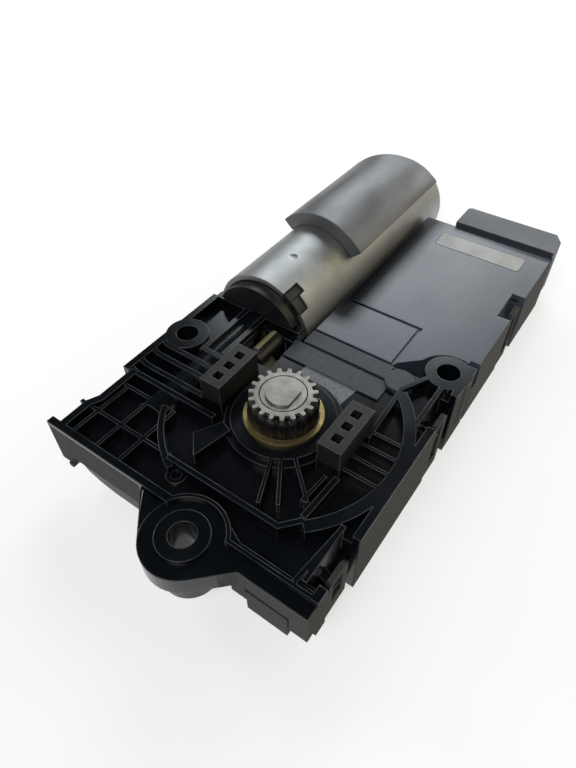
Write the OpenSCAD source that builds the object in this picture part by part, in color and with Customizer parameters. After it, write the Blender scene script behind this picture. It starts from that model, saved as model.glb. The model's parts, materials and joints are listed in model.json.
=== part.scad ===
// Sunroof motor: worm gear motor with a cable drive pinion and its own controller.
// Origin: pinion axis at the mounting plane. +X right, +Y towards the connector, +Z up.

/* [Drive pinion] */
// Number of teeth that pull the two cables
pinion_teeth = 19; // [16:1:22]
// Pitch of the wire wound on the drive cable
cable_pitch = 2.54; // [2.4:0.01:2.7]
// Height of a tooth from root to tip
pinion_tooth_height = 1.2; // [1:0.05:1.5]
// Length of the teeth along the shaft
pinion_face = 6.8; // [5.5:0.1:8]
// Gap on each side of the pinion where a cable runs
cable_way = 5.7; // [5:0.1:6.5]

/* [Output shaft] */
// Radius of the shaft where it turns in the bush
shaft_r = 5; // [4.6:0.1:5.4]
// Radius of the shaft's end inside the pinion
tip_r = 4.3; // [3.9:0.1:4.5]
// Distance from the axis to the flat of the shaft's end
tip_flat = 3.4; // [3:0.1:3.7]
// How far the shaft's end stands above the pinion
tip_proud = 0.5; // [0.2:0.1:1]
// Radius of the brass bush's flange
bush_flange_r = 10; // [9:0.1:10.8]
// Thickness of the brass bush's flange
bush_flange_t = 1; // [0.8:0.1:1.4]
// Wall of the brass bush
bush_wall = 2; // [1.5:0.1:2.5]

/* [Worm gearing] */
// Module of the worm and the wheel
gear_module = 1.01; // [0.98:0.01:1.03]
// Teeth on the worm wheel
wheel_teeth = 50; // [48:1:52]
// Width of the wheel's toothed rim
wheel_face = 5.6; // [5:0.1:6]
// Pitch radius of the worm
worm_pitch_r = 3.8; // [3.6:0.05:3.9]
// Threaded length of the worm
worm_length = 18; // [15:0.5:20]
// Play between teeth, measured round the pitch circle
backlash = 0.5; // [0.4:0.05:0.6]

/* [Housing] */
// Depth of the deck's floor below its ribs
deck_depth = 3; // [2.5:0.1:3.5]
// Thickness of the deck's floor
floor_t = 1.5; // [1.2:0.1:1.8]
// Thickness of the outer walls
wall_t = 2; // [1.6:0.1:2.4]
// Thickness of the thin ribs
rib_t = 0.9; // [0.7:0.05:1.2]
// Thickness of the round wall over the wheel
ring_t = 3; // [2.6:0.1:3.4]
// Depth of the whole motor below the mounting plane
base_depth = 22; // [21:0.5:24]
// From the pinion axis to the left wall
left_reach = 46.5; // [46:0.1:48]
// From the pinion axis to the right wall
right_reach = 32.6; // [32.4:0.1:34]
// From the pinion axis to the near wall
near_reach = 34.5; // [34:0.1:36]
// From the pinion axis to the far end of the deck
far_reach = 33.2; // [33:0.1:35]
// How far the near right ledge stands out
ledge = 3.5; // [3:0.1:4]
// Depth of the near left wall
near_drop = 11; // [10:0.5:12]
// Depth of the near right wall
ledge_drop = 12; // [11:0.5:12.5]
// Radius of the round collar round the bush
hub_r = 13.2; // [12.8:0.1:13.5]
// Height of the guide blocks above the mounting plane
guide_height = 7.1; // [6:0.1:8]
// Width of a guide block across the motor
guide_w = 6.2; // [5.8:0.1:6.6]
// Length of a guide block along the motor
guide_l = 15.3; // [14.5:0.1:16]
// Side of a guide block's square pockets
pocket = 2.4; // [2:0.1:2.6]

/* [Mounting] */
// Outer radius of a mounting boss
boss_r = 6.1; // [5.8:0.1:6.4]
// Radius of a mounting hole
screw_r = 3.1; // [2.8:0.05:3.3]
// Thickness of the ear that carries the near boss
ear_t = 6.5; // [5.5:0.1:7.5]
// Sideways place of the near boss
ear_x = 1.4; // [0.5:0.1:2.5]
// Place of the left boss along the motor
left_boss_y = 9.2; // [9:0.1:10]

/* [Motor] */
// Outer radius of the steel can
can_r = 16; // [15.9:0.1:16.3]
// Length of the can
can_length = 91.5; // [86:0.5:94]
// Thickness of the can
can_t = 1.5; // [1.2:0.1:1.7]
// Depth of the motor axis below the mounting plane
motor_drop = 6; // [5.8:0.1:6.3]
// From the pinion axis to the front of the can
can_start = 30.5; // [30.2:0.1:31.5]
// Radius of the armature shaft
motor_shaft_r = 2; // [1.8:0.05:2.1]
// Radius of the armature
core_r = 11; // [10.6:0.1:11.2]
// Length of the armature's stack
core_length = 46; // [40:0.5:50]
// Slots in the armature
core_slots = 10; // [8:2:12]
// Radius of the commutator
commutator_r = 6.4; // [6:0.1:6.8]
// Thickness of the foam pad
pad_t = 4.6; // [4:0.1:5]
// Length of the foam pad
pad_length = 51; // [46:0.5:54]
// From the can's front to the pad
pad_start = 30; // [28:0.5:32]

/* [Controller] */
// Length of the controller along the motor
case_length = 73.4; // [70:0.1:76]
// Depth of the cover's face below the mounting plane
cover_drop = 2; // [1.8:0.1:2.4]
// Thickness of the cover
cover_t = 1.8; // [1.5:0.1:2.2]
// Length of the connector
connector_l = 11.4; // [10:0.1:13]
// Width of the connector
connector_w = 34; // [32:0.5:35]
// Length of the blank label
label_w = 28.6; // [26:0.1:31]
// Width of the blank label
label_h = 7.6; // [6:0.1:9]

/* [Hidden] */
$fn = 48;

// Clearances
run = 0.05;
gap = 0.3;
eps = 0.01;

// Drive pinion and output shaft
pinion_r = pinion_teeth * cable_pitch / PI / 2 + 0.62;
pinion_root = pinion_r - pinion_tooth_height;
pinion_z = bush_flange_t + gap;
pinion_top = pinion_z + pinion_face;

// Seal round the bush
seal_r = 0.6;
seal_mid = shaft_r + bush_wall + seal_r + 0.02;

// Worm gearing: the wheel's pitch circle touches the worm's
wheel_r = gear_module * wheel_teeth / 2;
motor_x = -(wheel_r + worm_pitch_r);
motor_z = -motor_drop;
worm_lead = PI * gear_module;
addendum = 0.9 * gear_module;
dedendum = 1.15 * gear_module;
wheel_top = -(deck_depth + floor_t + gap);
wheel_bottom = wheel_top - wheel_face;
wheel_web = 1.6;
cup_r = wheel_r - dedendum - 4;
plate_t = 1.6;
plate_top = wheel_bottom - gap;
shaft_bottom = plate_top - plate_t - 4.2;
pivot_r = shaft_r - 1;
pivot_l = 2.5;
clip_t = 0.8;
chamber_low = plate_top - plate_t - clip_t - gap;

// Chamber over and round the wheel
ring_in = wheel_r + addendum + 3;
ring_out = ring_in + ring_t;
deck_top = -deck_depth;
deck_low = deck_top - floor_t;
pan_t = 1.8;
pan_top = -base_depth + pan_t;
pan_near = chamber_low - gap - pan_t;
boss_low = pan_near;

// Guide blocks on each side of the pinion
guide_in = pinion_r + cable_way;
guide_mid = guide_in + guide_w / 2;
guide_y0 = -guide_l / 2 + 0.7;

// Tab of the pan on the near right wall
tab_x0 = right_reach - 15.3;
tab_x1 = right_reach - 4.8;
tab_top = -7.4;
tab_proud = 0.15;
pan_left = -left_reach + 8.4;
left_step = 2.8;

// Mounting bosses
near_boss = [ear_x, -near_reach - 3.9];
left_boss = [-left_reach + boss_r + 0.7, left_boss_y];
right_boss = [right_reach - boss_r + 0.5, far_reach + 3.4];
ear_r = boss_r + 3.6;
arc_r = boss_r + 3.5;
sweep_x = near_boss[0] + ear_r * sqrt(2) - near_reach - ledge - near_boss[1];

// Height of the ear, the ledge and the near right wall, below their thin rim
near_top = -1;

// Worm tube and motor flange
tube_in = worm_pitch_r + addendum + gap;
tube_out = tube_in + 0.8;
tube_near = -worm_length / 2 - 7.5;
bearing_end = min(-sqrt((wheel_r + addendum + gap) ^ 2 - (motor_x + tube_in) ^ 2), -worm_length / 2 - 0.6);
flange_y = can_start - 3.5;
rail_x = 3;

// Controller
case_x0 = motor_x + can_r + 0.9;
case_x1 = right_reach;
case_y0 = far_reach;
case_y1 = case_y0 + case_length;
cover_top = -cover_drop;
cover_low = cover_top - cover_t;
board_z = -base_depth + 6;
board_t = 1.6;
board_y0 = case_y0 + 8;
board_y1 = case_y1 - 3;
label_x0 = -3;
label_y0 = case_y1 - 14.3;
connector_x1 = right_reach - 0.4;
connector_x0 = connector_x1 - connector_w;
connector_y1 = case_y1 + connector_l;
connector_top = -0.6;
connector_low = -base_depth + 4;
pins = [for (i = [0 : 7], k = [0, 1]) [connector_x0 + 5.5 + 3.2 * i, connector_low + 6 + 4.4 * k]];

// Snap loops on the right side, by the middle of each along the motor
loop_w = 8;
loop_t = 1.2;
loop_top = -1.6;
loop_depth = 2.2;
loop_x = right_reach - wall_t - loop_depth;
loops = [[-near_reach + 8, pan_near], [far_reach - 11.5, -base_depth]];
case_loop_y = case_y0 + 39.6;

// Motor parts, by distance from the can's front
can_in = can_r - can_t;
can_end = can_start + can_length;
core_y = can_start + 26;
commutator_y = can_start + 8;
commutator_l = 10;
magnet_t = can_in - core_r - 0.7;
brush_w = 4;
brush_l = 3.4;
brush_y = commutator_y + commutator_l / 2;
brush_in = commutator_r + run;
box_end = can_in - 0.7;
spring_l = box_end - 0.9 - brush_in - brush_l;
bearing_l = 5;
seat_r = 5;
slot_r = 1.9;

function unit(v) = v / norm(v);
function left_of(v) = [-v[1], v[0]];
function along(p, i) = unit(p[i + 1] - p[i]);
// Corner i of path p, moved by t to the left of the path, mitred at bends
function moved(p, i, t) =
    let (a = left_of(along(p, max(i - 1, 0))), b = left_of(along(p, min(i, len(p) - 2))),
         m = unit(a + b))
    p[i] + m * t / (m * a);

// Flat strip of width t along a path of points
module strip(p, t)
    polygon(concat([for (i = [0 : len(p) - 1]) moved(p, i, t / 2)],
                   [for (i = [len(p) - 1 : -1 : 0]) moved(p, i, -t / 2)]));

// Upright wall along a path, from height low to height high
module wall(p, t, low, high)
    translate([0, 0, low]) linear_extrude(high - low) strip(p, t);

// Upright wall round the pinion axis
module arc_wall(r0, r1, from, to, low, high)
    rotate_extrude(start = from, angle = to - from, $fn = 96)
        translate([r0, low]) square([r1 - r0, high - low]);

module block(p0, p1) translate(p0) cube(p1 - p0);

// Places its children on the motor axis, with their own Z along the motor from y
module on_motor(y) translate([motor_x, y, motor_z]) rotate([-90, 0, 0]) children();

module tube(r1, r0, h) difference() {
    cylinder(r = r1, h = h);
    translate([0, 0, -1]) cylinder(r = r0, h = h + 2);
}

// Outline of the near boss's ear, with a straight sweep from its round into the ledge
module ear_shape() {
    hull() {
        translate(near_boss) circle(r = ear_r);
        translate([ear_x - 6.5, -near_reach]) square([19.5, 1]);
    }
    polygon([near_boss, near_boss + ear_r * [cos(45), -sin(45)], [sweep_x, -near_reach - ledge],
             [sweep_x, -near_reach], [ear_x, -near_reach]]);
}

// Outline of the deck, seen from above
module deck_shape() {
    polygon([[-left_reach, -near_reach], [right_reach, -near_reach], [right_reach, far_reach],
             [case_x0, far_reach], [case_x0, flange_y], [-left_reach + 1.6, flange_y],
             [-left_reach + 1.6, -10.5], [-left_reach + 4.2, -10.5], [-left_reach + 4.2, -21.5],
             [-left_reach + left_step, -24.5], [-left_reach + left_step, -near_reach + wall_t],
             [-left_reach, -near_reach + wall_t]]);
    translate([ear_x + ear_r + 2, -near_reach - ledge])
        square([right_reach - ear_x - ear_r - 2, ledge + 1]);
    ear_shape();
    translate(right_boss) circle(r = boss_r);
    translate([right_boss[0], far_reach - 1]) square([right_reach - right_boss[0], 9.8]);
}

// Three pockets in a row in each guide block
module guide_block(x) difference() {
    block([x - guide_w / 2, guide_y0, deck_low], [x + guide_w / 2, guide_y0 + guide_l, guide_height]);
    for (i = [-1 : 1])
        translate([x, guide_y0 + guide_l / 2 + i * (pocket + 1.8), guide_height - 3])
            translate([-pocket / 2, -pocket / 2, 0]) cube([pocket, pocket, 4]);
}

// Ribs and ridges that stand on the deck's floor
module deck_ribs() {
    // Thin radial ribs from the hub
    for (a = [-67.5, -57.5, -43])
        rotate(a) block([hub_r - 0.5, -rib_t / 2, deck_low], [ring_in - 4, rib_t / 2, 0]);
    // Parallel ribs from the right guide block to the ring
    for (i = [0 : 3]) let (y = guide_y0 + 1.4 + i * 4.35)
        block([guide_in + guide_w - 1, y, deck_low], [sqrt(ring_in ^ 2 - y ^ 2) + 0.5, y + rib_t, 0]);
    // Straight ridge on the near side, bent up to the ring
    wall([[-15, -25.3], [16.5, -25.3], [20.2, -21]], 1.4, deck_low, 0);
    wall([[19.6, -20.6], [20.4, -8]], 1.5, deck_low, 0);
    wall([[17.2, -17.5], [18, -9]], rib_t, deck_low, 0);
    // Diagonal rib from the ring to the near right corner
    wall([[28, -17.5], [26.2, -near_reach + 1]], 1.2, deck_low, 0);
    // Rib from the right boss past the ring to the right guide block
    wall([right_boss + [-3.5, -4.4], [19.5, 24.4], [guide_in + guide_w, 11], [guide_in + guide_w, 6]],
         1.2, deck_low, 0);
    // Ribs over the worm tube
    for (y = [-9.9, -6.2, -1.4, 2.6])
        wall([[-left_reach + 2, y + 1], [-left_reach + 6, y], [-guide_in, y]], 1.5, deck_low, -0.1);
    wall([[motor_x - 3.8, 7.2], [-guide_in - 1, 7.2]], 1.5, deck_low, -0.1);
    // Grid of pockets at the near left corner
    for (x = [-39.5, -31.5, -24])
        wall([[x, -near_reach + 0.5], [x + 0.6, -14]], 1, deck_low, -0.6);
    wall([[-left_reach + 1.1, -24.6], [-15, -24.6]], 1, deck_low, -0.6);
    wall([[-left_reach + 4.5, -14.4], [-25, -14.4]], 1, deck_low, -0.6);
    // Slanted block beside the hub
    translate([0, 0, deck_low]) linear_extrude(-deck_low)
        polygon([[-14.8, -16.7], [-10.2, -21.9], [-7.8, -11.1], [-11, -10]]);
    // Small round boss with a dimple, beside the near boss
    translate([-11.2, -27, deck_low]) tube(2.5, 1.2, floor_t + 0.6);
}

// Underside between the outer walls and the pan
module shelf() {
    h = 1.4;
    block([-left_reach + left_step + 1, -near_reach + 1, -near_drop], [pan_left, -22, -near_drop + h]);
    block([-left_reach + 4.6, -24, -near_drop], [pan_left, -9, -near_drop + h]);
    block([-left_reach + 2, -10, -near_drop], [pan_left, flange_y, -near_drop + h]);
}

// Raised rim inside the near wall, carried round the near boss
module near_rim() {
    wall([[-left_reach, -near_reach + 0.5], [ear_x - arc_r + 1, -near_reach + 0.5]], 1, deck_low, 0);
    wall([[ear_x + arc_r - 1, -near_reach + 0.5], [right_reach, -near_reach + 0.5]], 1, deck_low, 0);
    translate(near_boss) rotate_extrude(start = 24, angle = 132)
        translate([arc_r - 0.5, deck_low]) square([1, -deck_low]);
}

// Stepped strips and a round pad in front of the cover
module far_steps() {
    block([-14.5, 19.6, deck_low], [15.5, 26.4, cover_top - 0.4]);
    block([case_x0, 27.1, deck_low], [13.5, far_reach - 1, cover_top]);
    translate([17.2, 28.4, deck_low]) cylinder(r = 3.9, h = cover_top + 0.3 - deck_low);
    translate([0, 0, deck_low]) linear_extrude(cover_top - 0.8 - deck_low)
        polygon([[-8, 12], [-6.5, 19.7], [9.4, 19.7], [8, 10]]);
}

// Outer walls, each as deep as the pan or the case under it
module outer_walls() {
    w = wall_t;
    wall([[-left_reach + 1.6 + w / 2, flange_y], [-left_reach + 1.6 + w / 2, -10.5]], w, -14, 0);
    wall([[-left_reach + 4.2 + w / 2, -9.5], [-left_reach + 4.2 + w / 2, -21.5],
          [-left_reach + left_step + w / 2, -24.5], [-left_reach + left_step + w / 2, -near_reach + 1]],
         w, -near_drop, 0);
    // Near wall, with a fin past the left wall
    wall([[-left_reach, -near_reach + w / 2], [ear_x - 8, -near_reach + w / 2]], w, -near_drop, 0);
    wall([[ear_x + 6, -near_reach + w / 2], [right_reach - w / 2, -near_reach + w / 2]],
         w, -near_drop, near_top);
    // Leg with a small hook at the near left corner
    block([-left_reach, -near_reach, -near_drop - 3.6], [-left_reach + 5, -near_reach + w, -1]);
    block([-left_reach + 3.6, -near_reach - 0.8, -near_drop - 3.6],
          [-left_reach + 5, -near_reach, -near_drop - 2.4]);
    // Ledge on the near right
    difference() {
        block([ear_x + ear_r + 2, -near_reach - ledge, -ledge_drop],
              [right_reach, -near_reach + 0.1, near_top]);
        block([sweep_x, -near_reach - ledge + w, -ledge_drop - 1],
              [right_reach - w, -near_reach + w + 1, -2]);
    }
    // Right wall, open where the snap loops stand
    difference() {
        block([right_reach - w, -near_reach - ledge, -base_depth], [right_reach, far_reach + 8.8, 0]);
        block([right_reach - w - 1, -near_reach - ledge - 1, -base_depth - 1],
              [right_reach + 1, -near_reach - 0.1, -ledge_drop]);
        block([right_reach - w - 1, -near_reach - 1, -base_depth - 1],
              [right_reach + 1, -near_reach + 3.6, -ledge_drop - 4]);
        block([right_reach - w - 1, -near_reach - ledge - 1, near_top], [right_reach + 1, -near_reach, 1]);
        for (l = loops)
            block([right_reach - w - 1, l[0] - loop_w / 2 - 0.6, -base_depth - 1],
                  [right_reach + 1, l[0] + loop_w / 2 + 4, 1]);
    }
    // Backs of the loop gaps, with the wedge that each loop snaps over
    for (l = loops)
        loop_recess(l[0], -near_drop, 0);
}

// Back and sides of a snap loop's gap, with the wedge that the loop snaps over
module loop_recess(y, low, high) {
    x = loop_x;
    block([x - 1.2, y - loop_w / 2 - 1.8, low], [x, y + loop_w / 2 + 5.2, high]);
    for (side = [y - loop_w / 2 - 1.8, y + loop_w / 2 + 4])
        block([x - 1.2, side, low], [right_reach - 0.5, side + 1.2, high - 3]);
    translate([x - 0.2, y - 1.2, 0]) rotate([-90, 0, 0]) linear_extrude(2.4)
        polygon([[0, 4.6], [right_reach - x - 0.4, 8], [0, 8]]);
}

// Tube round the worm, open to the wheel, with two rails on top
module worm_tube_outer() {
    on_motor(tube_near) cylinder(r = tube_out, h = flange_y + 1 - tube_near);
    for (s = [-1, 1])
        block([motor_x + s * rail_x - 0.8, left_boss_y - 1, motor_z + 3],
              [motor_x + s * rail_x + 0.8, flange_y + 1, 0]);
}

// Round flange that the can and the brush holder sit against
module motor_flange() {
    difference() {
        on_motor(flange_y) cylinder(r = can_r, h = can_start - flange_y - 0.8, $fn = 72);
        block([motor_x - 30, flange_y - 1, motor_z + 5.6], [motor_x + 30, can_start, 30]);
    }
    // Cup round the left and lower side of the can's front
    difference() {
        on_motor(flange_y) tube(can_r + 1.6, can_r + gap, 9);
        block([motor_x - 30, flange_y - 1, -3.4], [motor_x + 30, can_start + 20, 30]);
        block([motor_x - 4, flange_y - 1, -40], [motor_x + 30, can_start + 20, 30]);
        block([motor_x - 30, flange_y - 1, -40], [motor_x + 30, can_start + 20, motor_z - can_r + 1.8]);
    }
}

module gear_housing() color([0.08, 0.085, 0.1]) difference() {
    union() {
        translate([0, 0, deck_low]) linear_extrude(floor_t) deck_shape();
        arc_wall(ring_in, ring_out, -47, 49, deck_low - 1, 0);
        arc_wall(ring_in, ring_in + 1.6, 208, 245, deck_low - 1, -0.3);
        arc_wall(ring_in, ring_out - 1, 0, 360, plate_top - plate_t, deck_low + 0.5);
        shelf();
        translate([0, 0, deck_low - 1.2]) cylinder(r = shaft_r + bush_wall + 2, h = 2);
        translate([0, 0, deck_low]) cylinder(r = hub_r, h = -deck_low, $fn = 96);
        translate([0, 0, deck_low]) cylinder(r = hub_r + 1.6, h = -deck_low - 1.2, $fn = 96);
        translate([0, 0, -ear_t]) linear_extrude(ear_t + near_top) ear_shape();
        translate([near_boss[0], near_boss[1], boss_low]) cylinder(r = boss_r + 0.9, h = -boss_low - 1);
        for (b = [near_boss, left_boss, right_boss])
            translate([b[0], b[1], boss_low]) cylinder(r = boss_r, h = -boss_low);
        for (s = [-1, 1]) guide_block(s * guide_mid);
        deck_ribs();
        near_rim();
        far_steps();
        outer_walls();
        worm_tube_outer();
        motor_flange();
    }
    for (b = [near_boss, left_boss, right_boss])
        translate([b[0], b[1], boss_low - 1]) cylinder(r = screw_r, h = 2 - boss_low);
    // Bore for the bush
    translate([0, 0, deck_low - 2]) cylinder(r = shaft_r + bush_wall, h = 10);
    // Groove for the seal under the bush's flange
    translate([0, 0, -seal_r * 2]) tube(seal_mid + seal_r + 0.05, shaft_r + bush_wall - 0.1, 3);
    // Room for the worm, its bearings and the wheel
    on_motor(tube_near + 2) cylinder(r = tube_in, h = flange_y - tube_near - 4);
    on_motor(tube_near + 2) cylinder(r = motor_shaft_r + 2.5, h = flange_y - tube_near + 6);
    translate([0, 0, chamber_low - 1]) cylinder(r = ring_in, h = deck_low - chamber_low + 1, $fn = 96);
    // Opening over the motor shaft, beside the controller
    block([motor_x + 4, left_boss_y + 4, -near_drop], [case_x0 - 2, flange_y - 1.5, 1]);
    // Gaps in the deck over the snap loops
    for (l = loops)
        block([loop_x, l[0] - loop_w / 2 - 0.6, deck_low - eps],
              [right_reach + 1, l[0] + loop_w / 2 + 4, 1]);
    // Shallow seat for the pan's tab on the near right wall
    block([tab_x0 - gap, -near_reach - ledge - 1, -ledge_drop - 1],
          [tab_x1 + gap, -near_reach - ledge + 1, tab_top + 1]);
}

// Outer form of the pan: a shallow dish, cut back towards the near and left edges
module pan_form(inset) intersection() {
    top = 2 - near_drop;
    translate([right_reach, 0, 0]) rotate([90, 0, -90]) linear_extrude(left_reach + right_reach)
        offset(delta = -inset)
            polygon([[near_reach - 0.2, top], [near_reach - 0.2, pan_near], [near_reach - 8, pan_near],
                     [near_reach - 18, -base_depth], [-far_reach, -base_depth], [-far_reach, top]]);
    translate([0, far_reach, 0]) rotate([90, 0, 0]) linear_extrude(far_reach + near_reach)
        offset(delta = -inset)
            polygon([[pan_left, top], [pan_left, -near_drop], [pan_left + 2, -near_drop - 2.2],
                     [pan_left + 5.6, -near_drop - 3.6], [pan_left + 10.6, pan_near],
                     [motor_x + 4, pan_near], [motor_x + 9.5, -base_depth],
                     [right_reach - wall_t - gap, -base_depth], [right_reach - wall_t - gap, top]]);
}

// Loop that rises from a base and snaps over a wedge on the wall above it
module snap_loop(y, foot, back) {
    x = right_reach - gap - loop_t;
    difference() {
        union() {
            block([x, y - loop_w / 2, foot], [x + loop_t, y + loop_w / 2, loop_top - 1.6]);
            translate([x, y, loop_top - 1.6]) rotate([90, 0, 90]) linear_extrude(loop_t)
                polygon([[-loop_w / 2, 0], [loop_w / 2, 0],
                         [loop_w / 2 - 1.6, 1.6], [1.6 - loop_w / 2, 1.6]]);
        }
        block([x - 1, y - loop_w / 2 + 2.1, foot + 4.5],
              [x + loop_t + 1, y + loop_w / 2 - 2.1, loop_top - 2]);
    }
    block([back, y - loop_w / 2, foot], [x + eps, y + loop_w / 2, foot + pan_t]);
}

module bottom_pan() color([0.1, 0.1, 0.11]) difference() {
    union() {
        difference() {
            pan_form(0);
            pan_form(pan_t);
            block([-60, -60, -near_drop], [60, 60, 0]);
        }
        translate([0, 0, pan_top - eps])
            tube(pivot_r + 3.5, pivot_r + run, shaft_bottom + pivot_l - 0.2 - pan_top);
        translate([0, 0, pan_top - 0.5]) cylinder(r = pivot_r + 3.5, h = shaft_bottom - gap - pan_top + 0.5);
        for (a = [0 : 60 : 300]) rotate(a)
            block([pivot_r + 3, -rib_t / 2, pan_top - eps], [15, rib_t / 2, pan_top + 2.5]);
        for (l = loops) snap_loop(l[0], l[1], right_reach - wall_t - gap - 1);
        // Tab over the near right wall
        block([tab_x0, -near_reach - ledge - tab_proud, pan_near],
              [tab_x1, -near_reach - ledge + 0.8, tab_top]);
        block([tab_x0, -near_reach - ledge - tab_proud, pan_near],
              [tab_x1, -near_reach + 1.4, pan_near + 1.4]);
    }
    translate([near_boss[0], near_boss[1], -base_depth]) cylinder(r = boss_r + 0.9 + gap, h = base_depth);
    translate([left_boss[0], left_boss[1], -base_depth]) cylinder(r = boss_r + gap, h = base_depth);
    translate([right_boss[0], right_boss[1], -base_depth - 1]) cylinder(r = boss_r + gap, h = base_depth);
    block([-left_reach, flange_y - 0.4, -base_depth - 1], [case_x0 + 1, far_reach + 1, 0]);
}

// Outline of the controller, seen from above, cut round the right boss
module controller_shape(inset) difference() {
    polygon([[case_x0 + inset, case_y0 + inset], [case_x1 - 20 - inset / 2, case_y0 + inset],
             [case_x1 - 13 - inset, case_y0 + 6.7 + inset], [case_x1 - inset, case_y0 + 6.7 + inset],
             [case_x1 - inset, case_y1 - inset], [case_x0 + inset, case_y1 - inset]]);
    translate(right_boss) circle(r = boss_r + 2.5 + inset);
}

// Outline of the label with rounded corners, larger by margin all round
module label_shape(margin) {
    r = 1 + margin;
    translate([label_x0 - margin, label_y0 + 1])
        square([label_w + 2 * margin, label_h - 2]);
    translate([label_x0 + 1, label_y0 - margin])
        square([label_w - 2, label_h + 2 * margin]);
    for (x = [label_x0 + 1, label_x0 + label_w - 1], y = [label_y0 + 1, label_y0 + label_h - 1])
        translate([x, y]) circle(r = r, $fn = 24);
}

module controller_cover() color([0.3, 0.33, 0.38]) difference() {
    union() {
        difference() {
            translate([0, 0, -base_depth]) linear_extrude(cover_top + base_depth) controller_shape(0);
            translate([0, 0, -base_depth - 1])
                linear_extrude(cover_low + base_depth + 1) controller_shape(wall_t);
            // Slot for the snap loop
            block([loop_x, case_loop_y - loop_w / 2 - 0.6, -base_depth - 1],
                  [case_x1 + 1, case_loop_y + loop_w / 2 + 4, 1]);
        }
        loop_recess(case_loop_y, -base_depth + pan_t + gap, cover_top);
    }
    // Window for the terminal pins
    block([pins[0][0] - 1, case_y1 - wall_t - 1, pins[0][1] - 1.2],
          [pins[len(pins) - 1][0] + 1, case_y1 + 1, pins[1][1] + 1.2]);
    // Step at the far edge
    block([case_x0 - 1, case_y1 - 1.9, cover_top - 0.4], [case_x1 + 1, case_y1 + 1, 1]);
    // Notch beside the right boss
    block([case_x1 - 3, case_y0 + 9.6, -9], [case_x1 + 1, case_y0 + 13, 1]);
    // Groove round the raised panel
    translate([0, 0, cover_top - 0.6]) linear_extrude(2)
        strip([[case_x0 + 1, case_y0 + 16.8], [case_x1 - 20, case_y0 + 16.8],
               [case_x1 - 20, case_y0 - 1]], 1.1);
    // Shallow seat of the label
    translate([0, 0, cover_top - 0.15]) linear_extrude(1) label_shape(0.2);
}

module controller_base() color([0.1, 0.1, 0.11]) difference() {
    union() {
        translate([0, 0, -base_depth]) linear_extrude(pan_t) controller_shape(wall_t + gap);
        // Posts under the board
        for (x = [case_x0 + 6, case_x1 - 6], y = [board_y0 + 3, board_y1 - 3])
            translate([x, y, -base_depth]) cylinder(r = 2.6, h = board_z + base_depth);
        snap_loop(case_loop_y, -base_depth, case_x1 - wall_t - gap - 1);
        // Low walls round the board
        for (x = [case_x0 + wall_t + gap, case_x1 - wall_t - gap - 1.2])
            block([x, board_y0 + 2, -base_depth], [x + 1.2, case_loop_y - 12, board_z - gap]);
    }
    translate([right_boss[0], right_boss[1], -base_depth - 1])
        cylinder(r = boss_r + 2.5 + wall_t + gap, h = base_depth);
}

module connector_shroud() color([0.17, 0.18, 0.21]) difference() {
    w = 1.8;
    translate([0, 0, connector_low]) linear_extrude(connector_top - connector_low)
        polygon([[connector_x0, case_y1], [connector_x1, case_y1], [connector_x1, connector_y1 - 4],
                 [connector_x1 - 2.5, connector_y1], [connector_x0 + 1, connector_y1],
                 [connector_x0, connector_y1 - 1]]);
    block([connector_x0 + w, case_y1 + 2.4, connector_low + w],
          [connector_x1 - w - 1.4, connector_y1 + 1, connector_top - w]);
    // Keyways in the socket's roof
    for (x = [connector_x0 + 7, connector_x1 - 10])
        block([x, case_y1 + 2.4, connector_top - w - 1], [x + 2.4, connector_y1 + 1, connector_top - 0.8]);
    // Holes for the terminal pins
    for (p = pins) translate([p[0] - 0.5, case_y1 - 1, p[1] - 0.5]) cube([1, 10, 1]);
}

// Flat pins in two rows, from the board out into the socket
module terminal_pins() color([0.8, 0.7, 0.4])
    for (p = pins) let (y = case_y1 - 6.5 - (p[1] - pins[0][1]) / 2) {
        block([p[0] - 0.4, y, p[1] - 0.4], [p[0] + 0.4, connector_y1 - 4, p[1] + 0.4]);
        block([p[0] - 0.4, y, board_z + board_t], [p[0] + 0.4, y + 0.8, p[1]]);
    }

module circuit_board() color([0.05, 0.3, 0.15]) difference() {
    block([case_x0 + wall_t + 1.6, board_y0, board_z], [loop_x - 1.6, board_y1, board_z + board_t]);
    translate([right_boss[0], right_boss[1], board_z - 1]) cylinder(r = boss_r + 2.5 + wall_t + 1, h = 4);
}

module relays() color([0.12, 0.12, 0.13])
    for (i = [0, 1])
        block([case_x0 + 7 + i * 14, board_y0 + 10, board_z + board_t],
              [case_x0 + 19.5 + i * 14, board_y0 + 25, cover_low - 1]);

module capacitor() color([0.12, 0.16, 0.3])
    translate([case_x0 + 8, board_y1 - 22, board_z + board_t + 4.02])
        rotate([0, 90, 0]) cylinder(r = 4, h = 12);

module control_chip() color([0.08, 0.08, 0.08])
    block([case_x0 + 24, board_y1 - 26, board_z + board_t],
          [case_x0 + 34, board_y1 - 16, board_z + board_t + 1.4]);

// Deep drawn can with a rear bearing seat, notched at the front for the clip
module motor_can() color([0.68, 0.69, 0.62]) difference() {
    l = can_length;
    on_motor(can_start) rotate_extrude($fn = 72)
        polygon([[can_in, 0], [can_r, 0], [can_r, l - 3.6],
                 [can_r - 0.5, l - 1.8], [can_r - 1.8, l - 0.5], [can_r - 3.6, l], [seat_r + 2, l],
                 [seat_r + 1.4, l + 2.6], [0, l + 2.6], [0, l + 1.3], [seat_r, l + 1.3], [seat_r, l - can_t],
                 [can_in - 3, l - can_t], [can_in - 0.4, l - 3], [can_in, l - 4.4]]);
    on_motor(can_start - 1) rotate_extrude(start = -62, angle = 12) square([can_r + 2, 7.4]);
    on_motor(can_start - 1) rotate_extrude(start = -51, angle = 17) square([can_r + 2, 5]);
    // Pressed dimple on top
    on_motor(can_start + 14) rotate([0, 0, 4]) translate([0, -can_r - 2.2, 0]) sphere(r = 2.6);
}

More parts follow.
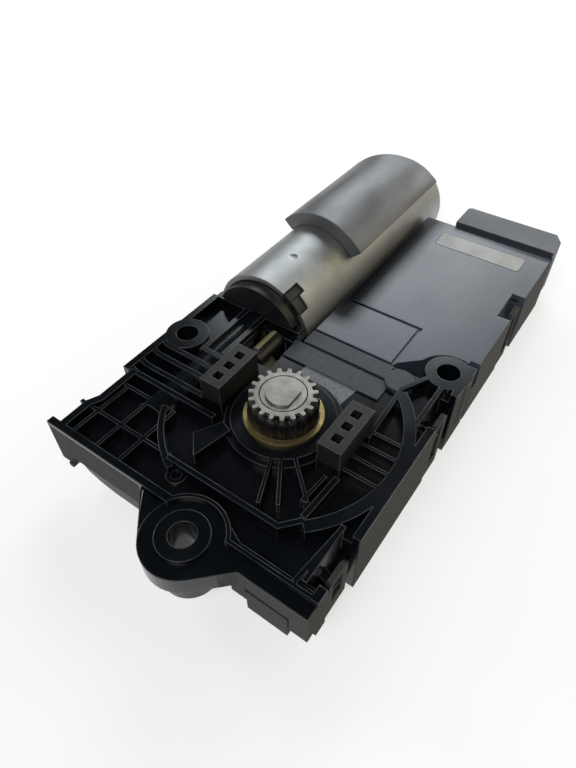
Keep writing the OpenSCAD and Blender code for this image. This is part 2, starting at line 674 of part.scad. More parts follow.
module magnets() color([0.25, 0.25, 0.26])
    for (a = [20, 200])
        on_motor(core_y - 2) rotate_extrude(start = a, angle = 140)
            translate([core_r + 0.5, 0]) square([magnet_t, core_length + 4]);

// Plastic end frame of the motor: a crown over the deck, a plug in the can and two brush boxes
module brush_holder() color([0.07, 0.07, 0.08]) difference() {
    union() {
        difference() {
            on_motor(flange_y) cylinder(r = can_in - 0.3, h = can_start - flange_y + 4, $fn = 72);
            block([-60, flange_y - 1, -60], [0, can_start - 0.8 + eps, 0.2]);
        }
        for (s = [-1, 1])
            block([motor_x + min(s * (commutator_r + 1.2), s * box_end), can_start + 3.5, motor_z - 3.2],
                  [motor_x + max(s * (commutator_r + 1.2), s * box_end), brush_y + 3.6, motor_z + 3.2]);
    }
    on_motor(flange_y - 1) cylinder(r = motor_shaft_r + 2.6, h = 20);
    on_motor(flange_y - 1) cylinder(r = seat_r + run, h = 3.9);
    for (s = [-1, 1]) beside_commutator(s, commutator_r, box_end - 0.9, brush_w + gap);
}

// Square bar from radius r0 to r1 on side s of the commutator
module beside_commutator(s, r0, r1, side)
    block([motor_x + min(s * r0, s * r1), brush_y - side / 2, motor_z - side / 2],
          [motor_x + max(s * r0, s * r1), brush_y + side / 2, motor_z + side / 2]);

// One carbon brush on side s of the commutator
module brush(s) beside_commutator(s, brush_in, brush_in + brush_l, brush_w);
module brush_left() color([0.2, 0.2, 0.2]) brush(-1);
module brush_right() color([0.2, 0.2, 0.2]) brush(1);

// One coil spring behind a brush; each slice of its wire is a curved lens
module brush_spring(s) {
    inner = [for (a = [-80 : 20 : 80]) (1.3 - 0.3 * cos(a * 1.125)) * [cos(a), sin(a)]];
    outer = [for (a = [80 : -20 : -80]) (1.3 + 0.3 * cos(a * 1.125)) * [cos(a), sin(a)]];
    translate([motor_x + s * (brush_in + brush_l + eps), brush_y, motor_z]) rotate([0, s * 90, 0])
        linear_extrude(spring_l - 2 * eps, twist = -1080, slices = 30, segments = 18)
            polygon(concat(inner, outer));
}
module spring_left() color([0.7, 0.7, 0.7]) brush_spring(-1);
module spring_right() color([0.7, 0.7, 0.7]) brush_spring(1);

module armature_shaft() color([0.7, 0.7, 0.72])
    on_motor(tube_near + 2.6) cylinder(r = motor_shaft_r, h = can_end + 1 - tube_near - 2.6);

// Single-start worm: its cross-section is the thread's height wrapped once round the axis
thread_w = worm_lead / 2 - backlash / 2;
function thread_r(a) =
    let (s = abs(a) / 360 * worm_lead, r = worm_pitch_r + (thread_w / 2 - s) / tan(20))
    max(worm_pitch_r - dedendum, min(worm_pitch_r + addendum, r));
module worm() color([0.62, 0.62, 0.64]) on_motor(-worm_length / 2) difference() {
    rotate(-180 * worm_length / worm_lead)
        linear_extrude(worm_length, twist = -360 * worm_length / worm_lead,
                       slices = round(13 * worm_length / worm_lead), segments = 24)
            polygon([for (a = [-180 : 15 : 179]) thread_r(a) * [cos(a), sin(a)]]);
    translate([0, 0, -1]) cylinder(r = motor_shaft_r, h = worm_length + 2);
}

// Laminated stack with its winding slots
module armature_core() color([0.45, 0.45, 0.47]) on_motor(core_y) difference() {
    cylinder(r = core_r, h = core_length);
    translate([0, 0, -1]) cylinder(r = motor_shaft_r, h = core_length + 2);
    for (i = [0 : core_slots - 1]) rotate((i + 0.5) * 360 / core_slots) {
        translate([core_r - 3.6, 0, -1]) cylinder(r = slot_r, h = core_length + 2, $fn = 24);
        translate([core_r - 3.6, -0.6, -1]) cube([4, 1.2, core_length + 2]);
    }
}

// Copper coils: heads at each end of the stack, sides in the slots
module windings() color([0.72, 0.4, 0.2]) {
    on_motor(core_y - 5) tube(core_r - 1.6, motor_shaft_r + 1.2, 5);
    on_motor(core_y + core_length) tube(core_r - 1.6, motor_shaft_r + 1.2, 5);
    on_motor(core_y) for (i = [0 : core_slots - 1]) rotate((i + 0.5) * 360 / core_slots)
        translate([core_r - 3.6, 0, 0]) cylinder(r = slot_r - 0.2, h = core_length, $fn = 24);
}

module commutator() color([0.75, 0.45, 0.28]) on_motor(commutator_y) difference() {
    cylinder(r = commutator_r, h = commutator_l);
    translate([0, 0, -1]) cylinder(r = motor_shaft_r, h = commutator_l + 2);
    for (i = [0 : core_slots - 1]) rotate(i * 360 / core_slots)
        translate([commutator_r - 0.8, -0.2, -1]) cube([2, 0.4, commutator_l - 1]);
}

// Sintered bearing bush that starts at y
module bearing(y, r, l) on_motor(y) tube(r, motor_shaft_r + run, l);
module rear_bearing() color([0.72, 0.55, 0.3]) bearing(can_end - can_t, seat_r, can_t + 1.3);
module mid_bearing() color([0.72, 0.55, 0.3]) bearing(flange_y - 2, motor_shaft_r + 2.5, bearing_l);
module front_bearing() color([0.72, 0.55, 0.3])
    bearing(tube_near + 2, tube_in, bearing_end - tube_near - 2);

module sensor_magnet() color([0.22, 0.22, 0.24])
    on_motor(left_boss_y + 6) tube(tube_in - 0.4, motor_shaft_r, 5);

// Moulded holder of the position sensor, over the wheel in the opening beside the shaft
module sensor_holder() color([0.86, 0.84, 0.66]) {
    x = motor_x + tube_in + 3.6;
    low = wheel_top + gap;
    y1 = flange_y - 1.5 - run;
    difference() {
        translate([x, left_boss_y + 5, low]) rotate([-90, 0, 0])
            cylinder(r = 2.8, h = y1 - left_boss_y - 5);
        block([x - 4, left_boss_y, low - 4], [x + 4, y1 + 1, low]);
    }
    block([x - 2.8, y1 - 4.8, -near_drop + 0.4], [x + 2.8, y1 - 1.8, low + 0.1]);
}

// Clip of the motor's end frame, in the can's notch
module motor_clip() color([0.06, 0.06, 0.07]) {
    on_motor(can_start + 0.2) rotate_extrude(start = -60.5, angle = 9)
        translate([can_in - 0.2, 0]) square([can_t - 0.3, 5.6]);
    on_motor(can_start + 0.2) rotate_extrude(start = -50.5, angle = 15.5)
        translate([can_in - 0.2, 0]) square([can_t - 0.3, 3.2]);
}

// Foam wrapped over the top of the can
module foam_pad() color([0.24, 0.25, 0.27])
    on_motor(can_start + pad_start) rotate_extrude(start = -138, angle = 96)
        translate([can_r + run, 0]) square([pad_t, pad_length]);

module label() color([0.85, 0.85, 0.8])
    translate([0, 0, cover_top - 0.15]) linear_extrude(0.25) label_shape(0);

module output_bush() color([0.8, 0.68, 0.35]) difference() {
    union() {
        translate([0, 0, deck_low + 0.2]) cylinder(r = shaft_r + bush_wall, h = -deck_low);
        cylinder(r = bush_flange_r, h = bush_flange_t);
    }
    translate([0, 0, deck_low - 1]) cylinder(r = shaft_r + run, h = 12);
}

// Rubber ring under the bush's flange
module shaft_seal() color([0.07, 0.07, 0.07])
    rotate_extrude() translate([seal_mid, -seal_r]) circle(r = seal_r - 0.01, $fn = 16);

module output_shaft() color([0.72, 0.72, 0.7]) difference() {
    union() {
        translate([0, 0, shaft_bottom]) cylinder(r = pivot_r, h = pivot_l + 1);
        translate([0, 0, shaft_bottom + pivot_l])
            cylinder(r = shaft_r, h = pinion_z - shaft_bottom - pivot_l);
        difference() {
            translate([0, 0, pinion_z - 1]) cylinder(r = tip_r, h = pinion_face + tip_proud + 1);
            block([tip_flat, -10, pinion_z], [10, 10, 30]);
        }
    }
    // Groove for the circlip
    translate([0, 0, plate_top - plate_t - clip_t - 0.1])
        tube(shaft_r + 1, shaft_r - 0.6, clip_t + 0.1);
}

// Points of one wheel tooth at angle a
function tooth(a) = [for (e = [[wheel_r - dedendum, -1], [wheel_r + addendum, -1],
                               [wheel_r + addendum, 1], [wheel_r - dedendum, 1]])
    let (half = thread_w / 2 - (e[0] - wheel_r) * tan(20), t = a + e[1] * half / e[0] * 180 / PI)
    e[0] * [cos(t), sin(t)]];
wheel_turn = gear_module / (2 * worm_pitch_r) / wheel_r * 180 / PI;
module worm_wheel() color([0.88, 0.86, 0.78]) difference() {
    translate([0, 0, wheel_bottom]) rotate(180 - wheel_turn * (motor_z - wheel_bottom))
        linear_extrude(wheel_face, twist = -wheel_turn * wheel_face, slices = 2, segments = 4 * wheel_teeth)
            polygon([for (i = [0 : wheel_teeth - 1]) each tooth((i + 0.5) * 360 / wheel_teeth)]);
    translate([0, 0, wheel_bottom - 1]) cylinder(r = shaft_r, h = wheel_face + 2);
    translate([0, 0, wheel_bottom - 1]) difference() {
        cylinder(r = cup_r, h = wheel_face + 1 - wheel_web);
        cylinder(r = shaft_r + 2, h = wheel_face + 2);
        for (a = [0, 120, 240]) rotate(a)
            translate([shaft_r + 1.5, -1.2, 0]) cube([cup_r, 2.4, wheel_face]);
    }
}

// Rubber segments between the wheel's lugs and the driver's
module damper() color([0.1, 0.1, 0.1])
    for (a = [0 : 60 : 300])
        translate([0, 0, wheel_bottom + 0.2])
            rotate_extrude(start = a + 9, angle = 42)
                translate([shaft_r + 2.2, 0]) square([cup_r - shaft_r - 2.4, wheel_face - wheel_web - 0.4]);

// Steel plate that drives the shaft through the rubber
module driver_plate() color([0.6, 0.6, 0.6]) {
    translate([0, 0, plate_top - plate_t]) tube(cup_r - 0.6, shaft_r, plate_t);
    for (a = [60, 180, 300]) rotate(a)
        block([shaft_r + 2.4, -1.1, plate_top - eps],
              [cup_r - 1, 1.1, plate_top + wheel_face - wheel_web - 0.6]);
}

module circlip() color([0.5, 0.5, 0.5])
    translate([0, 0, plate_top - plate_t - clip_t]) difference() {
        cylinder(r = shaft_r + 1.6, h = clip_t);
        translate([0, 0, -1]) cylinder(r = shaft_r - 0.55, h = 3);
        block([0, -1.5, -1], [10, 1.5, 3]);
    }

// Points of one pinion tooth at angle a, short and blocky with its tip edges broken
function pinion_tooth(a) =
    let (w = PI * pinion_root / pinion_teeth * 0.52, d = [cos(a), sin(a)], n = [-sin(a), cos(a)])
    [d * (pinion_root - 0.1) - n * w, d * (pinion_r - 0.35) - n * w * 0.86, d * pinion_r - n * w * 0.66,
     d * pinion_r + n * w * 0.66, d * (pinion_r - 0.35) + n * w * 0.86, d * (pinion_root - 0.1) + n * w];
module drive_pinion() color([0.7, 0.69, 0.65]) difference() {
    translate([0, 0, pinion_z]) linear_extrude(pinion_face)
        polygon([for (i = [0 : pinion_teeth - 1]) each pinion_tooth(i * 360 / pinion_teeth)]);
    // Bore with a flat, and the turned ring on the face
    difference() {
        translate([0, 0, pinion_z - 1]) cylinder(r = tip_r + 0.02, h = pinion_face + 2);
        block([tip_flat + 0.02, -10, pinion_z - 2], [10, 10, 30]);
    }
    translate([0, 0, pinion_top - 0.3]) tube(tip_r + 1.5, tip_r + 1.25, 1);
}

gear_housing();
bottom_pan();
controller_base();
controller_cover();
connector_shroud();
terminal_pins();
circuit_board();
relays();
capacitor();
control_chip();
motor_can();
magnets();
brush_holder();
brush_left();
brush_right();
spring_left();
spring_right();
armature_shaft();
worm();
armature_core();
windings();
commutator();
rear_bearing();
mid_bearing();
front_bearing();
sensor_magnet();
sensor_holder();
motor_clip();
foam_pad();
label();
output_bush();
shaft_seal();
output_shaft();
worm_wheel();
damper();
driver_plate();
circlip();
drive_pinion();
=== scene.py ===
"""Dressed model of a sunroof motor: finishes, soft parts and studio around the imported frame."""

import json
import logging
import math
from dataclasses import dataclass, field
from enum import Enum

import bmesh
import bpy
import numpy as np
from mathutils import Matrix, Vector


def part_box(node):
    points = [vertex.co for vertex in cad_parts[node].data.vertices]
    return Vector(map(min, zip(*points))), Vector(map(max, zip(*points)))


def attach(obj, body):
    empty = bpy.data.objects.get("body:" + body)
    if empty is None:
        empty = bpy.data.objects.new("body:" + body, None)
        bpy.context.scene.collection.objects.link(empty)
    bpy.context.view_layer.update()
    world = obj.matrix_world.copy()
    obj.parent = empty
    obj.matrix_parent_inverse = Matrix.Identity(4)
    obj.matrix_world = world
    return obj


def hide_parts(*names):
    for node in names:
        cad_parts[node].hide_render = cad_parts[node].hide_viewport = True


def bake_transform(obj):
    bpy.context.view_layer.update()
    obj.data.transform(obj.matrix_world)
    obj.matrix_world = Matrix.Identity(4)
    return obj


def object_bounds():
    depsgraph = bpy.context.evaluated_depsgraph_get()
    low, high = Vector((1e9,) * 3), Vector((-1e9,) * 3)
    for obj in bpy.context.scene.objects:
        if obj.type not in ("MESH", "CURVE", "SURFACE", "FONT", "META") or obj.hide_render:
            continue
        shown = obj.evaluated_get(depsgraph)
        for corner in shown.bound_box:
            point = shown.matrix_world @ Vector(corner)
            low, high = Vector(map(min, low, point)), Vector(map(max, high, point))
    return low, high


LOG = logging.getLogger("sunroof_motor")
MM = 0.001
MERGE_DISTANCE = 1e-7

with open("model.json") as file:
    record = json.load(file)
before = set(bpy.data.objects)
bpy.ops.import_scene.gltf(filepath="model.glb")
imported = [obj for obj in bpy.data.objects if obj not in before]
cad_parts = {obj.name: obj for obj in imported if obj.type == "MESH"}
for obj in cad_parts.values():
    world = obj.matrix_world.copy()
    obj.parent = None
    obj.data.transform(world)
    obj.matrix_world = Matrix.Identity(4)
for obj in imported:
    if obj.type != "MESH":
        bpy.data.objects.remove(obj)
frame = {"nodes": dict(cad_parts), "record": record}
CAD_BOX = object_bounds()

Color = tuple[float, float, float]
Point = tuple[float, float, float]
Span = tuple[float, float]
Socket = bpy.types.NodeSocket


class Along(Enum):
    """Axis that lines in a surface run along."""

    X = 0
    Y = 1
    Z = 2


def joint_point(name: str) -> Point:
    """A joint's point in metres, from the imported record."""
    joints = frame["record"]["behaviour"]["joints"]
    return next(tuple(joint["pos_m"]) for joint in joints if joint["name"] == name)


def mount_point(name: str) -> Point:
    """A mount's point in metres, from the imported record."""
    mounts = frame["record"]["mounts"]
    return next(tuple(mount["pos_m"]) for mount in mounts if mount["name"] == name)


class NodeSheet:
    """A material's node tree with short ways to add and join nodes."""

    def __init__(self, name: str) -> None:
        """Start a tree with an output and a Principled shader.

        Args:
            name: the material's name.
        """
        self.material = bpy.data.materials.new(name)
        self.material.use_nodes = True
        self.tree = self.material.node_tree
        self.tree.nodes.clear()
        self.output = self.tree.nodes.new("ShaderNodeOutputMaterial")
        self.shader = self.tree.nodes.new("ShaderNodeBsdfPrincipled")
        self.tree.links.new(self.shader.outputs[0], self.output.inputs["Surface"])

    def add(self, kind: str, **values: object) -> bpy.types.Node:
        """Add a node and set its properties.

        Args:
            kind: Blender's type name of the node.
            values: properties of the node by name.

        Returns:
            The new node.
        """
        node = self.tree.nodes.new(kind)
        for key, value in values.items():
            setattr(node, key, value)
        return node

    def join(self, source: Socket, target: Socket) -> None:
        """Link an output to an input."""
        self.tree.links.new(source, target)

    def coordinates(self, stretch: Color = (1.0, 1.0, 1.0)) -> Socket:
        """Object coordinates in metres, stretched per axis.

        Args:
            stretch: factor on each axis.

        Returns:
            The vector output.
        """
        source = self.add("ShaderNodeTexCoord")
        mapping = self.add("ShaderNodeMapping")
        mapping.inputs["Scale"].default_value = stretch
        self.join(source.outputs["Object"], mapping.inputs["Vector"])
        return mapping.outputs["Vector"]

    def split(self, vector: Socket) -> list[Socket]:
        """A vector's X, Y and Z as three outputs.

        Args:
            vector: the vector.

        Returns:
            The three value outputs.
        """
        parts = self.add("ShaderNodeSeparateXYZ")
        self.join(vector, parts.inputs[0])
        return list(parts.outputs)

    def noise(self, vector: Socket, scale: float, detail: float = 2.0, roughness: float = 0.5) -> Socket:
        """Noise over a vector.

        Args:
            vector: coordinates.
            scale: waves per metre.
            detail: octaves.
            roughness: weight of the finer octaves.

        Returns:
            The value output, from 0 to 1.
        """
        node = self.add("ShaderNodeTexNoise")
        node.inputs["Scale"].default_value = scale
        node.inputs["Detail"].default_value = detail
        node.inputs["Roughness"].default_value = roughness
        self.join(vector, node.inputs["Vector"])
        return node.outputs["Fac"]

    def cells(self, vector: Socket, scale: float) -> Socket:
        """Distance to the nearest cell centre, for pores and grain.

        Args:
            vector: coordinates.
            scale: cells per metre.

        Returns:
            The distance output.
        """
        node = self.add("ShaderNodeTexVoronoi")
        node.inputs["Scale"].default_value = scale
        self.join(vector, node.inputs["Vector"])
        return node.outputs["Distance"]

    def ramp(self, value: Socket, low: float, high: float, bottom: float = 0.0, top: float = 1.0) -> Socket:
        """Map a value from low..high onto bottom..top, held at the ends.

        Args:
            value: what is mapped.
            low: value that gives bottom.
            high: value that gives top.
            bottom: result at low.
            top: result at high.

        Returns:
            The mapped output.
        """
        node = self.add("ShaderNodeMapRange")
        for key, number in (("From Min", low), ("From Max", high), ("To Min", bottom), ("To Max", top)):
            node.inputs[key].default_value = number
        self.join(value, node.inputs["Value"])
        return node.outputs["Result"]

    def math(self, operation: str, a: Socket | float, b: Socket | float = 0.0) -> Socket:
        """One arithmetic step on two values.

        Args:
            operation: Blender's name of the step.
            a: first output or number.
            b: second output or number.

        Returns:
            The result's output.
        """
        node = self.add("ShaderNodeMath", operation=operation)
        for target, value in zip(node.inputs, (a, b)):
            if isinstance(value, bpy.types.NodeSocket):
                self.join(value, target)
            else:
                target.default_value = value
        return node.outputs[0]

    def mix(self, factor: Socket, a: Color | Socket, b: Color | Socket) -> Socket:
        """Blend two colours by a factor.

        Args:
            factor: 0 gives a, 1 gives b.
            a: first colour.
            b: second colour.

        Returns:
            The colour output.
        """
        node = self.add("ShaderNodeMix", data_type="RGBA")
        self.join(factor, node.inputs["Factor"])
        for target, value in ((node.inputs[6], a), (node.inputs[7], b)):
            if isinstance(value, bpy.types.NodeSocket):
                self.join(value, target)
            else:
                target.default_value = (*value, 1.0)
        return node.outputs[2]

    def inside(self, vector: Socket, zone: "Zone") -> Socket:
        """1 inside a zone's box and 0 outside it.

        Args:
            vector: coordinates in metres.
            zone: the box.

        Returns:
            The value output.
        """
        middle = [(a + b) / 2 for a, b in zip(zone.low, zone.high)]
        half = [(b - a) / 2 for a, b in zip(zone.low, zone.high)]
        away = self.add("ShaderNodeVectorMath", operation="SUBTRACT")
        away.inputs[1].default_value = middle
        self.join(vector, away.inputs[0])
        size = self.add("ShaderNodeVectorMath", operation="ABSOLUTE")
        self.join(away.outputs[0], size.inputs[0])
        parts = self.split(size.outputs[0])
        hits = [self.math("LESS_THAN", part, limit) for part, limit in zip(parts, half)]
        return self.math("MULTIPLY", self.math("MULTIPLY", hits[0], hits[1]), hits[2])

    def outer_edges(self, width: float) -> Socket:
        """0 on open faces, rising towards outer edges, where the material below is thin.

        Args:
            width: how far in from an edge it reaches, in metres.

        Returns:
            The value output.
        """
        node = self.add("ShaderNodeAmbientOcclusion", inside=True, only_local=True, samples=6)
        node.inputs["Distance"].default_value = width
        return self.math("SUBTRACT", 1.0, node.outputs["AO"])

    def set(self, **values: float | Color) -> None:
        """Set constants on the shader's own sockets, with _ for spaces in their names."""
        for key, value in values.items():
            target = self.shader.inputs[key.replace("_", " ")]
            target.default_value = (*value, 1.0) if isinstance(value, tuple) else value

    def drive(self, **sources: Socket) -> None:
        """Link outputs to the shader's sockets, with _ for spaces in their names."""
        for key, source in sources.items():
            self.join(source, self.shader.inputs[key.replace("_", " ")])

    def relief(self, height: Socket, depth: float, edge: float = 0.0) -> None:
        """Bump the surface by a height, with its edges eased.

        Args:
            height: height pattern, from 0 to 1.
            depth: height in metres at 1.
            edge: radius of the eased edges in metres, 0 for none.
        """
        bump = self.add("ShaderNodeBump")
        bump.inputs["Strength"].default_value = 1.0
        bump.inputs["Distance"].default_value = depth
        self.join(height, bump.inputs["Height"])
        if edge:
            bevel = self.add("ShaderNodeBevel", samples=4)
            bevel.inputs["Radius"].default_value = edge
            self.join(bevel.outputs["Normal"], bump.inputs["Normal"])
        self.join(bump.outputs["Normal"], self.shader.inputs["Normal"])


@dataclass(frozen=True)
class Finish:
    """A surface finish; build() gives its material once and keeps it."""

    name: str
    slot: str

    def build(self) -> bpy.types.Material:
        """The finish's material, made the first time it is asked for.

        It is kept in MADE and never looked up by name in the file, where the frame's plain slot
        materials are too.

        Returns:
            The material.
        """
        if self.name not in MADE:
            MADE[self.name] = self.make(NodeSheet(self.name))
        return MADE[self.name]

    def make(self, sheet: NodeSheet) -> bpy.types.Material:
        """Fill the sheet's tree and return its material."""
        raise NotImplementedError


MADE: dict[str, bpy.types.Material] = {}


@dataclass(frozen=True)
class Zone:
    """A box in the part's frame where the surface gets a set tone and roughness; for several boxes the tone
    is painted reflection or painted shade.
    """

    low: Point
    high: Point
    color: Color = (0.06, 0.063, 0.066)
    roughness: float = 0.52


@dataclass(frozen=True)
class MouldedPlastic(Finish):
    """Moulded plastic: fine grain and uneven gloss, with dust, zones of set tone and roughness, a painted
    shadow strip and painted edge highlights if asked.
    """

    color: Color = (0.01, 0.011, 0.013)
    worn: Color = (0.02, 0.021, 0.024)
    roughness: Span = (0.25, 0.4)
    specular: float = 0.5
    cloud_scale: float = 45.0
    grain: float = 0.00001
    grain_scale: float = 2600.0
    edge: float = 0.00025
    dust: float = 0.0
    dust_color: Color = (0.32, 0.3, 0.27)
    dust_scale: float = 900.0
    zones: tuple[Zone, ...] = ()
    speckle_scale: float = 1500.0
    speckle_dark: float = 0.35
    # Painted shadow of the can: a dark, less reflective strip over an X span, from a Y on.
    can_shadow_x: Span | None = None
    can_shadow_y: Span = (0.037, 0.043)
    can_shadow_color: Color = (0.004, 0.005, 0.006)
    can_shadow_specular: float = 0.06
    # Painted edge highlight: a lighter tone on outer edges, in patches.
    edge_highlight_color: Color = (0.05, 0.053, 0.058)
    edge_highlight_share: float = 0.0
    edge_highlight_width: float = 0.00035
    edge_highlight_patches: float = 130.0

    def make(self, sheet: NodeSheet) -> bpy.types.Material:
        """Broad noise sets tone and gloss, fine noise the grain; what else this plastic has lies over it.

        Args:
            sheet: the empty tree.

        Returns:
            The material.
        """
        where = sheet.coordinates()
        cloud = sheet.noise(where, self.cloud_scale, 4.0, 0.6)
        height = sheet.noise(where, self.grain_scale, 2.0)
        tone = sheet.mix(sheet.ramp(cloud, 0.35, 0.7), self.color, self.worn)
        gloss = sheet.ramp(cloud, 0.3, 0.7, *self.roughness)
        sheet.set(Specular_IOR_Level=self.specular)
        if self.dust:
            tone = self.dusted(sheet, where, tone)
        if self.zones:
            tone, gloss, height = self.zoned(sheet, where, tone, gloss, height)
        # Painted shadow of the can beside the cover.
        if self.can_shadow_x:
            tone = self.painted_can_shadow(sheet, where, tone)
        # Painted edge highlights.
        if self.edge_highlight_share:
            tone = self.wear_and_edge_highlight(sheet, where, tone)
        sheet.drive(Base_Color=tone, Roughness=gloss)
        sheet.relief(height, self.grain, self.edge)
        return sheet.material

    def dusted(self, sheet: NodeSheet, where: Socket, tone: Socket) -> Socket:
        """Specks of dust on what faces up.

        Args:
            sheet: the tree.
            where: coordinates.
            tone: colour below the dust.

        Returns:
            The colour with dust.
        """
        geometry = sheet.add("ShaderNodeNewGeometry")
        up = sheet.ramp(sheet.split(geometry.outputs["Normal"])[2], 0.5, 1.0, 0.0, self.dust)
        specks = sheet.ramp(sheet.noise(where, self.dust_scale, 5.0, 0.7), 0.45, 0.75)
        return sheet.mix(sheet.math("MULTIPLY", up, specks), tone, self.dust_color)

    def zoned(self, sheet: NodeSheet, where: Socket, tone: Socket, gloss: Socket,
              height: Socket) -> tuple[Socket, Socket, Socket]:
        """Each zone's speckled tone, roughness and grain inside its box.

        Args:
            sheet: the tree.
            where: coordinates.
            tone: colour outside the zones.
            gloss: roughness outside them.
            height: relief outside them.

        Returns:
            The colour, the roughness and the relief.
        """
        speckle = sheet.ramp(sheet.noise(where, self.speckle_scale, 6.0, 0.75), 0.36, 0.66)
        for zone in self.zones:
            mask = sheet.inside(where, zone)
            dark = tuple(self.speckle_dark * value for value in zone.color)
            tone = sheet.mix(mask, tone, sheet.mix(speckle, dark, zone.color))
            gloss = sheet.math("MAXIMUM", gloss, sheet.math("MULTIPLY", mask, zone.roughness))
            height = sheet.math("ADD", height, sheet.math("MULTIPLY", mask, speckle))
        return tone, gloss, height

    def painted_can_shadow(self, sheet: NodeSheet, where: Socket, tone: Socket) -> Socket:
        """Painted shadow of the can: a dark strip with weaker reflection that fades out across X and begins
        along Y.

        Args:
            sheet: the tree.
            where: coordinates.
            tone: colour below the strip.

        Returns:
            The colour with the strip.
        """
        x, y, _ = sheet.split(where)
        # film is the painted shadow's strength: 1 in the shadow, 0 outside it.
        film = sheet.math("MULTIPLY", sheet.ramp(x, *self.can_shadow_x, 1.0, 0.0), sheet.ramp(y, *self.can_shadow_y))
        sheet.drive(Specular_IOR_Level=sheet.ramp(film, 0.0, 1.0, self.specular, self.can_shadow_specular))
        return sheet.mix(film, tone, self.can_shadow_color)

    def wear_and_edge_highlight(self, sheet: NodeSheet, where: Socket, tone: Socket) -> Socket:
        """Outer edges painted lighter in patches: a painted edge highlight.

        Args:
            sheet: the tree.
            where: coordinates.
            tone: colour of the open faces.

        Returns:
            The colour with its edges.
        """
        patchy = sheet.ramp(sheet.noise(where, self.edge_highlight_patches, 3.0), 0.35, 0.6, 0.3, self.edge_highlight_share)
        rim = sheet.ramp(sheet.outer_edges(self.edge_highlight_width), 0.12, 0.5)
        return sheet.mix(sheet.math("MULTIPLY", rim, patchy), tone, self.edge_highlight_color)


@dataclass(frozen=True)
class DrawnSteel(Finish):
    """Plated sheet steel with faint drawing lines and cloudy plating."""

    color: Color = (0.39, 0.40, 0.395)
    cloud: Color = (0.32, 0.33, 0.325)
    roughness: Span = (0.44, 0.56)
    along: Along = Along.Y
    line_scale: float = 900.0
    line_stretch: float = 0.02
    cloud_scale: float = 60.0
    depth: float = 0.000006
    edge: float = 0.0004

    def make(self, sheet: NodeSheet) -> bpy.types.Material:
        """Noise stretched along one axis draws the lines.

        Args:
            sheet: the empty tree.

        Returns:
            The material.
        """
        stretch = [1.0, 1.0, 1.0]
        stretch[self.along.value] = self.line_stretch
        lines = sheet.noise(sheet.coordinates(tuple(stretch)), self.line_scale, 3.0)
        cloud = sheet.noise(sheet.coordinates(), self.cloud_scale, 5.0, 0.65)
        tone = sheet.mix(sheet.ramp(cloud, 0.4, 0.7), self.color, self.cloud)
        sheet.drive(Base_Color=tone, Roughness=sheet.ramp(cloud, 0.35, 0.65, *self.roughness))
        sheet.set(Metallic=1.0)
        sheet.relief(lines, self.depth, self.edge)
        return sheet.material


@dataclass(frozen=True)
class GreasedSteel(Finish):
    """Turned steel whose hollows, below a radius about the upright axis, hold dark grease."""

    color: Color = (0.37, 0.355, 0.32)
    grease: Color = (0.012, 0.011, 0.01)
    roughness: Span = (0.38, 0.56)
    clean_radius: float = 7.8 * MM
    blend: float = 0.6 * MM
    top: float = 1.0
    top_fade: float = 0.3 * MM
    ring: float = 0.0
    ring_width: float = 0.18 * MM
    patch_scale: float = 420.0
    patch_reach: float = 0.7 * MM
    scratch_scale: float = 1800.0
    stain_scale: float = 300.0
    stain_dark: float = 0.6

    def make(self, sheet: NodeSheet) -> bpy.types.Material:
        """Distance from the upright axis, broken up by noise, decides steel or grease.

        Args:
            sheet: the empty tree.

        Returns:
            The material.
        """
        where = sheet.coordinates()
        x, y, z = sheet.split(where)
        square = sheet.math("ADD", sheet.math("POWER", x, 2.0), sheet.math("POWER", y, 2.0))
        radius = sheet.math("SQRT", square)
        patches = sheet.noise(where, self.patch_scale, 4.0, 0.65)
        patch = sheet.ramp(patches, 0.3, 0.7, -self.patch_reach, self.patch_reach)
        clean = sheet.ramp(sheet.math("ADD", radius, patch), self.clean_radius - self.blend,
                           self.clean_radius + self.blend)
        clean = sheet.math("MAXIMUM", clean, sheet.ramp(z, self.top - self.top_fade, self.top))
        scratches = sheet.noise(where, self.scratch_scale, 3.0, 0.7)
        stain = sheet.ramp(sheet.noise(where, self.stain_scale, 4.0, 0.6), 0.35, 0.7)
        tone = sheet.mix(stain, self.color, tuple(self.stain_dark * value for value in self.color))
        if self.ring:
            away = sheet.math("ABSOLUTE", sheet.math("SUBTRACT", radius, self.ring))
            tone = sheet.mix(sheet.ramp(away, 0.0, self.ring_width, 0.8, 0.0), tone, self.grease)
        sheet.drive(Base_Color=sheet.mix(clean, self.grease, tone), Metallic=clean,
                    Roughness=sheet.ramp(scratches, 0.3, 0.7, *self.roughness))
        sheet.relief(scratches, 0.00001, 0.0002)
        return sheet.material


@dataclass(frozen=True)
class CastMetal(Finish):
    """Sintered, cast or wound metal with a speckled tone."""

    color: Color = (0.48, 0.38, 0.17)
    speck: Color = (0.20, 0.165, 0.075)
    roughness: Span = (0.4, 0.6)
    scale: float = 1600.0
    metallic: float = 1.0
    depth: float = 0.00002
    stain_scale: float = 240.0

    def make(self, sheet: NodeSheet) -> bpy.types.Material:
        """Cell noise gives the pores, broad noise the stains.

        Args:
            sheet: the empty tree.

        Returns:
            The material.
        """
        where = sheet.coordinates()
        pores = sheet.cells(where, self.scale)
        stain = sheet.noise(where, self.stain_scale, 4.0, 0.6)
        tone = sheet.mix(sheet.ramp(stain, 0.35, 0.7), self.color, self.speck)
        sheet.drive(Base_Color=tone, Roughness=sheet.ramp(stain, 0.3, 0.7, *self.roughness))
        sheet.set(Metallic=self.metallic)
        sheet.relief(pores, self.depth, 0.0002)
        return sheet.material


